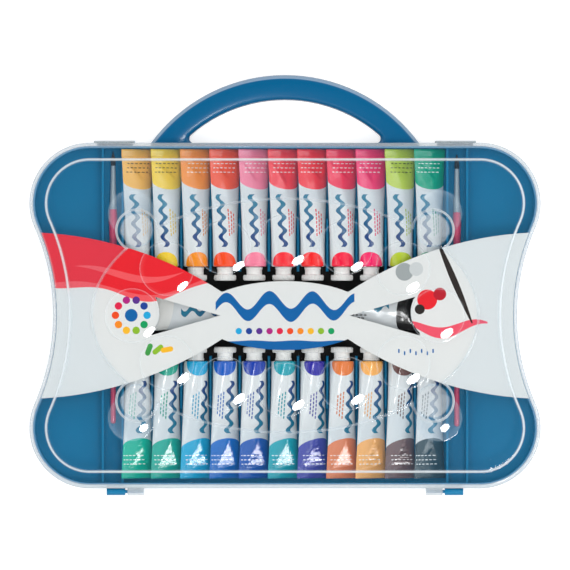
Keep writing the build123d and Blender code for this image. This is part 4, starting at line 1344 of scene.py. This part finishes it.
def cap_profile(start, length, radius, flange, waist, foot_radius, foot, bore):
    """Turned profile of a cap from its open end to its closed end: foot ring, waist, and ribbed flange."""
    end = start + length
    lip = end - flange
    brow = start + foot
    return [(bore, end - CAP_WALL), (bore, start), (bore + 0.3, start), (foot_radius - 0.25, start),
            (foot_radius, start + 0.25), (foot_radius, brow - 0.3), (foot_radius - 0.3, brow),
            (waist + 0.15, brow), (waist, brow + 0.2), (waist, lip - 0.35), (waist + 0.35, lip),
            (radius - 0.35, lip), (radius, lip + 0.35), (radius, end - 0.8), (radius - 0.22, end - 0.3),
            (radius - 0.75, end), (radius - 2.0, end), (radius - 2.3, end - 0.35), (0.0, end - 0.35)]


class PAINTBOX_OT_caps(bpy.types.Operator):
    """Build every screw cap, with grip ribs set round it by Geometry Nodes"""
    bl_idname = "paintbox.caps"
    bl_label = "Screw Caps"

    def execute(self, context):
        caps = context.scene.paintbox_caps
        white = moulded_polyethylene("white_moulded_polyethylene", caps.white)
        tree = rib_tree(white)
        # a rib stands out of the cap's wall by three fifths of its depth
        proud = caps.rib_depth / MM * 0.6
        ribbed = {}
        for size, ribs in (("small", caps.ribs), ("large", caps.large_ribs)):
            core = {**CAP_SIZES[size], "radius": CAP_SIZES[size]["radius"] - proud}
            points, faces = turned(cap_profile(**core), CAP_SEGMENTS, Matrix.Identity(4))
            # a fan closes the bore
            end = core["start"] + core["length"]
            faces += [[i, len(points), (i + 1) % CAP_SEGMENTS] for i in range(CAP_SEGMENTS)]
            points.append((0.0, 0.0, end - CAP_WALL))
            seed_mesh = bpy.data.meshes.new(f"{size}_cap_core")
            seed_mesh.from_pydata([tuple(c * MM for c in p) for p in points], [], faces)
            mesh = grown_mesh(f"{size}_cap", seed_mesh, tree, {
                "Radius": core["radius"] * MM, "Rib Width": float(caps.rib_width),
                "Rib Depth": 2 * proud * MM, "Rib Length": (core["flange"] - 1.5) * MM,
                "Height": (end - core["flange"] / 2 - 0.1) * MM, "Ribs": ribs})
            with edited(mesh) as work:
                bmesh.ops.recalc_face_normals(work, faces=work.faces)
            ribbed[size] = mesh
        spots = [(name, place, Matrix.Rotation(way * math.pi / 2, 4, "X"), "small")
                 for name, place, way in tube_places()]
        spots += [(name, place, Matrix.Rotation(-side * math.pi / 2, 4, "Y"), "large")
                  for name, place, side in large_places()]
        for number, (name, place, turn, size) in enumerate(spots):
            mesh = ribbed[size].copy()
            mesh.name = f"screw_cap_{name}"
            # each cap is screwed home at a turn of its own
            spin = Matrix.Rotation(number * 0.37, 4, "Z")
            shifted = Vector((place.x, place.y + CASE_MIDDLE_Y, place.z)) * MM
            mesh.transform(Matrix.Translation(shifted) @ turn @ spin)
            mark_sharp(mesh, 42)
            add_piece(f"screw_cap_{name}", mesh, white, f"cap_{name}", "cap_white", f"cap_{name}")
        return {"FINISHED"}


# ---- brushes -----------------------------------------------------------------------------------------

# How far a brush lies from the middle line and how high, and where each ferrule's mouth is
BRUSH_X, BRUSH_Z, FERRULE_MOUTHS = 124.35, 5.6, (("left", -1, 108.3), ("right", 1, 106.1))
# How deep the tuft's roots stand in the ferrule, and how far they spread
TUFT_ROOT, TUFT_RADIUS = 1.5, 1.7


def smooth_profile(knots, steps):
    """Smooth (radius, height) pairs through a few knots."""
    out, padded = [], [Vector(knot) for knot in (knots[0], *knots, knots[-1])]
    for before, here, there, after in zip(padded, padded[1:], padded[2:], padded[3:]):
        slope_here = (there.x - before.x) / max(1e-6, abs(there.y - before.y)) * abs(there.y - here.y)
        slope_there = (after.x - here.x) / max(1e-6, abs(after.y - here.y)) * abs(there.y - here.y)
        for s in range(steps):
            t = s / steps
            radius = ((2 * t**3 - 3 * t**2 + 1) * here.x + (t**3 - 2 * t**2 + t) * slope_here
                      + (3 * t**2 - 2 * t**3) * there.x + (t**3 - t**2) * slope_there)
            out.append((radius, here.y + (there.y - here.y) * t))
    return out + [tuple(knots[-1])]


def handle_profile(start, end):
    """Turned profile of a lacquered handle: a swelling next to the ferrule, a long taper and a blunt end."""
    knots = [(2.7, start), (3.0, start + 4), (3.1, start + 9), (2.75, start + 20), (2.3, start + 34),
             (2.1, start + 80), (1.95, end - 12)]
    return [(0.0, start), (2.45, start), *smooth_profile(knots, 6), (1.98, end - 2.0), (1.75, end - 0.8),
            (1.1, end - 0.15), (0.0, end)]


def ferrule_profile(end):
    """Turned profile of a ferrule, which widens from its rolled mouth to two crimped grooves."""
    profile = [(0.0, 0.25), (1.35, 0.25), (1.42, 0.0), (1.55, 0.0), (1.62, 0.2)]
    profile += [(1.62 + 0.03 * k, 0.2 + 1.2 * k) for k in range(1, 16)] + [(2.15, 20.0), (2.32, 24.0)]
    for groove in (25.2, 27.4):
        profile += [(2.42, groove), (2.2, groove + 0.35), (2.2, groove + 0.75), (2.46, groove + 1.1)]
    return profile + [(2.6, end - 0.7), (2.55, end), (0.0, end)]


def hair_tree(material):
    """Geometry Nodes tree that grows a pointed tuft of hairs from the origin along Z."""
    tree, given = group_tree("brush_tuft", ("Root Radius", "Length", "Hair Radius"), ("Hairs", "Seed"))
    # roots scattered evenly over the ferrule's mouth
    spread = node(tree, "FunctionNodeRandomValue", {2: 0.0, 3: 1.0, "Seed": given["Seed"]}, data_type="FLOAT")
    root = node(tree, "ShaderNodeMath", {0: spread}, operation="SQRT")
    reach = node(tree, "ShaderNodeMath", {0: root, 1: given["Root Radius"]}, operation="MULTIPLY")
    other = node(tree, "ShaderNodeMath", {0: given["Seed"], 1: 11.0}, operation="ADD")
    angle = node(tree, "FunctionNodeRandomValue", {2: 0.0, 3: 2 * math.pi, "Seed": other}, data_type="FLOAT")
    east = node(tree, "ShaderNodeMath", {0: angle}, operation="COSINE")
    north = node(tree, "ShaderNodeMath", {0: angle}, operation="SINE")
    flat = node(tree, "ShaderNodeCombineXYZ", {"X": east, "Y": north})
    spot = node(tree, "ShaderNodeVectorMath", {0: flat, "Scale": reach}, operation="SCALE")
    roots = node(tree, "GeometryNodePoints", {"Count": given["Hairs"], "Position": spot})
    tip = node(tree, "ShaderNodeCombineXYZ", {"Z": given["Length"]})
    line = node(tree, "GeometryNodeCurvePrimitiveLine", {"End": tip})
    bent = node(tree, "GeometryNodeResampleCurve", {"Curve": line, "Count": 9})
    uneven = node(tree, "FunctionNodeRandomValue", {2: 0.9, 3: 1.0, "Seed": given["Seed"]}, data_type="FLOAT")
    tall = node(tree, "ShaderNodeCombineXYZ", {"X": 1.0, "Y": 1.0, "Z": uneven})
    hairs = node(tree, "GeometryNodeInstanceOnPoints", {"Points": roots, "Instance": bent, "Scale": tall})
    loose = node(tree, "GeometryNodeRealizeInstances", {"Geometry": hairs})
    # the tuft swells above the ferrule and closes to a point
    belly = node(tree, "ShaderNodeFloatCurve", {"Value": node(tree, "GeometryNodeSplineParameter")})
    swell = belly.mapping.curves[0].points
    swell[0].location, swell[1].location = (0.0, 0.72), (1.0, 0.06)
    for x, y in ((0.3, 1.0), (0.55, 0.86), (0.82, 0.4)):
        swell.new(x, y)
    belly.mapping.update()
    parts = node(tree, "ShaderNodeSeparateXYZ", {"Vector": node(tree, "GeometryNodeInputPosition")})
    near = node(tree, "ShaderNodeMath", {0: parts.outputs["X"], 1: belly}, operation="MULTIPLY")
    side = node(tree, "ShaderNodeMath", {0: parts.outputs["Y"], 1: belly}, operation="MULTIPLY")
    gathered = node(tree, "ShaderNodeCombineXYZ", {"X": near, "Y": side, "Z": parts.outputs["Z"]})
    shaped = node(tree, "GeometryNodeSetPosition", {"Geometry": loose, "Position": gathered})
    section = node(tree, "GeometryNodeCurvePrimitiveCircle", {"Resolution": 5,
                                                              "Radius": given["Hair Radius"]})
    strands = node(tree, "GeometryNodeCurveToMesh", {"Curve": shaped, "Profile Curve": section,
                                                     "Fill Caps": True})
    end_tree(tree, strands, material)
    return tree


class PAINTBOX_OT_brushes(bpy.types.Operator):
    """Build both brushes: turned handle, crimped ferrule, and a tuft grown by Geometry Nodes"""
    bl_idname = "paintbox.brushes"
    bl_label = "Brushes"

    def execute(self, context):
        brush = context.scene.paintbox_brushes
        red = lacquered_beech("red_lacquered_beech", brush.lacquer)
        metal = drawn_aluminium("polished_drawn_aluminium")
        hair = synthetic_bristle("dark_nylon_bristle")
        tree = hair_tree(hair)
        ferrule, handle = brush.ferrule_length / MM, brush.handle_length / MM
        for part, side, mouth in FERRULE_MOUTHS:
            # local Z runs from the ferrule's mouth down the handle
            turn = Matrix.Translation((side * BRUSH_X, mouth, BRUSH_Z)) @ Matrix.Rotation(math.pi / 2, 4, "X")
            points, faces = turned(handle_profile(ferrule, ferrule + handle), 40, turn)
            mesh = make_mesh(f"brush_{part}_handle", points, faces)
            add_piece(f"brush_{part}_lacquer", mesh, red, "case", "brush_lacquer", f"brush_handle_{part}")
            points, faces = turned(ferrule_profile(ferrule), 40, turn)
            mesh = make_mesh(f"brush_{part}_ferrule", points, faces)
            mark_sharp(mesh, 35)
            add_piece(f"brush_{part}_ferrule", mesh, metal, "case", "ferrule_metal", "brush_ferrules")
            mesh = grown_mesh(f"brush_{part}_tuft", bpy.data.meshes.new("tuft_seed"), tree, {
                "Root Radius": TUFT_RADIUS * MM, "Length": float(brush.tuft_length) + TUFT_ROOT * MM,
                "Hair Radius": float(brush.hair_radius), "Hairs": brush.hairs,
                "Seed": brush.seed + (part == "right")})
            start = Vector((side * BRUSH_X, mouth - TUFT_ROOT + CASE_MIDDLE_Y, BRUSH_Z)) * MM
            mesh.transform(Matrix.Translation(start) @ Matrix.Rotation(-math.pi / 2, 4, "X"))
            add_piece(f"brush_{part}_tuft", mesh, hair, "case", "bristle_dark", "brush_bristles")
        return {"FINISHED"}


# ---- the stage ---------------------------------------------------------------------------------------

# Everything here is in metres. The lamps look at the middle of the lid.
LID_LEVEL = 0.03
# Name, setting, place, width, height, shape, and whether mirrors show it. The one overhead is broad, and is
# kept out of the lid's mirror as if it were polarised.
LAMPS = (
    ("left_softbox", "softbox", (-1.5, 0.1, 0.75), 0.5, 0.9, "RECTANGLE", True),
    ("right_softbox", "softbox", (1.5, 0.1, 0.75), 0.5, 0.9, "RECTANGLE", True),
    ("small_window", "window", SMALL_LAMP, 0.52, 0.38, "ELLIPSE", True),
    ("low_corner_lamp", "corner", (1.5, -0.62, 0.5), 0.5, 0.4, "RECTANGLE", True),
    ("overhead_softbox", "overhead", (0.0, 0.0, 2.0), 1.0, 1.0, "RECTANGLE", False),
)
# Sines of the angle over the horizon between which the walls brighten, the ceiling darkens, and the part of
# the walls that reflections show brighter ends
WALLS, CEILING, TENT_TOP = (0.2, 0.7), (0.9, 0.962), (0.3, 0.6)
FLOOR_HALF, FLOOR_Z = 6.0, -0.0002
# How much brighter the camera and mirrors see the floor than it is lit
CAMERA_LIFT, MIRROR_LIFT = 0.62, 0.3


def add_lamp(name, place, width, height, radiance, shape, mirrored):
    """A soft lamp that looks at the case, with its brightness given as seen from the front."""
    lamp = bpy.data.lights.new(name, "AREA")
    lamp.shape, lamp.size, lamp.size_y = shape, width, height
    lamp.energy = radiance * math.pi * width * height * (math.pi / 4 if shape == "ELLIPSE" else 1.0)
    holder = new_object(name, lamp)
    holder.location = place
    holder.rotation_mode = "QUATERNION"
    holder.rotation_quaternion = (Vector((0.0, 0.0, LID_LEVEL)) - Vector(place)).to_track_quat("-Z", "Y")
    holder.visible_glossy = mirrored


class PAINTBOX_OT_stage(bpy.types.Operator):
    """Set up the white floor, the surroundings, the lamps and the camera"""
    bl_idname = "paintbox.stage"
    bl_label = "Stage"

    def execute(self, context):
        scene, stage = context.scene, context.scene.paintbox_stage
        floor = bpy.data.meshes.new("paper_floor")
        floor.from_pydata([(x * FLOOR_HALF, y * FLOOR_HALF, FLOOR_Z)
                           for x, y in ((-1, -1), (1, -1), (1, 1), (-1, 1))], [], [(0, 1, 2, 3)])
        floor.materials.append(seamless_paper("white_seamless_paper"))
        new_object("paper_floor", floor)
        # white walls all round and a dark ceiling, so that the flat lid mirrors no glare
        world = bpy.data.worlds.new("white_room")
        world.use_nodes = True
        tree = world.node_tree
        tree.nodes.clear()
        sight = node(tree, "ShaderNodeTexCoord").outputs["Generated"]
        up = node(tree, "ShaderNodeSeparateXYZ", {"Vector": sight}).outputs["Z"]
        high = node(tree, "ShaderNodeMapRange", {"Value": up, "From Min": WALLS[0], "From Max": WALLS[1],
                                                 "To Min": 0.5, "To Max": 1.6})
        dark = node(tree, "ShaderNodeMapRange", {"Value": up, "From Min": CEILING[0], "From Max": CEILING[1],
                                                 "To Min": 1.0, "To Max": 0.03},
                    interpolation_type="SMOOTHSTEP")
        glow = node(tree, "ShaderNodeMath", {0: high, 1: dark}, operation="MULTIPLY")
        # reflections show the low walls brighter, as bare softboxes behind a tent's cloth would be
        low = node(tree, "ShaderNodeMapRange", {"Value": up, "From Min": TENT_TOP[0], "From Max": TENT_TOP[1],
                                                "To Min": stage.tent - 1, "To Max": 0.0})
        ray = node(tree, "ShaderNodeLightPath").outputs
        mirrored = node(tree, "ShaderNodeMath", {0: ray["Is Glossy Ray"], 1: low, 2: 1.0},
                        operation="MULTIPLY_ADD")
        for share in (mirrored, stage.sky):
            glow = node(tree, "ShaderNodeMath", {0: glow, 1: share}, operation="MULTIPLY")
        # the camera sees plain white
        seen = node(tree, "ShaderNodeMath", {0: glow, 1: ray["Is Camera Ray"]}, operation="MAXIMUM")
        light = node(tree, "ShaderNodeBackground", {"Color": (1.0, 1.0, 1.0, 1.0), "Strength": seen})
        node(tree, "ShaderNodeOutputWorld", {"Surface": light})
        scene.world = world
        for name, setting, place, width, height, shape, shown in LAMPS:
            add_lamp(name, place, width, height, getattr(stage, setting), shape, shown)
        camera = bpy.data.cameras.new("overhead_camera")
        camera.sensor_width = 36.0
        camera.lens = camera.sensor_width * stage.camera_height / stage.frame_width
        camera.clip_end = 50.0
        scene.camera = new_object("overhead_camera", camera)
        scene.camera.location = (0.0, 0.0, LID_LEVEL + stage.camera_height)
        scene.view_settings.view_transform = "Standard"
        return {"FINISHED"}


# ---- panel and registration --------------------------------------------------------------------------

STEPS = (PAINTBOX_OT_stage, PAINTBOX_OT_case, PAINTBOX_OT_lid, PAINTBOX_OT_latches, PAINTBOX_OT_card,
         PAINTBOX_OT_tubes, PAINTBOX_OT_caps, PAINTBOX_OT_brushes)

SETTINGS = {"paintbox_case": CaseSettings, "paintbox_lid": LidSettings, "paintbox_card": CardSettings,
            "paintbox_tubes": TubeSettings, "paintbox_caps": CapSettings, "paintbox_brushes": BrushSettings,
            "paintbox_stage": StageSettings}


class PAINTBOX_PT_panel(bpy.types.Panel):
    """Lists the steps that build the paint set box, and their settings"""
    bl_idname = "PAINTBOX_PT_panel"
    bl_label = "Gouache Paint Set Box"
    bl_space_type = "VIEW_3D"
    bl_region_type = "UI"
    bl_category = "Paint Box"

    def draw(self, context):
        layout = self.layout
        for step in STEPS:
            layout.operator(step.bl_idname)
        for name in SETTINGS:
            box = layout.box()
            group = getattr(context.scene, name)
            for key in group.bl_rna.properties.keys():
                if key not in {"rna_type", "name"}:
                    box.prop(group, key)
        for paint in context.scene.paintbox_paints:
            layout.prop(paint, "colour", text=paint.name)


CLASSES = (PaintColour, *SETTINGS.values(), *STEPS, PAINTBOX_PT_panel)


def register():
    for cls in CLASSES:
        bpy.utils.register_class(cls)
    for name, group in SETTINGS.items():
        setattr(bpy.types.Scene, name, PointerProperty(type=group))
    bpy.types.Scene.paintbox_paints = CollectionProperty(type=PaintColour)


def unregister():
    del bpy.types.Scene.paintbox_paints
    for name in SETTINGS:
        delattr(bpy.types.Scene, name)
    for cls in reversed(CLASSES):
        bpy.utils.unregister_class(cls)


def main():
    register()
    for _, name, colour, _ in PAINTS:
        paint = bpy.context.scene.paintbox_paints.add()
        paint.name, paint.colour = name, linear(colour)
    for step in STEPS:
        family, action = step.bl_idname.split(".")
        getattr(getattr(bpy.ops, family), action)()


if __name__ == "__main__":
    main()
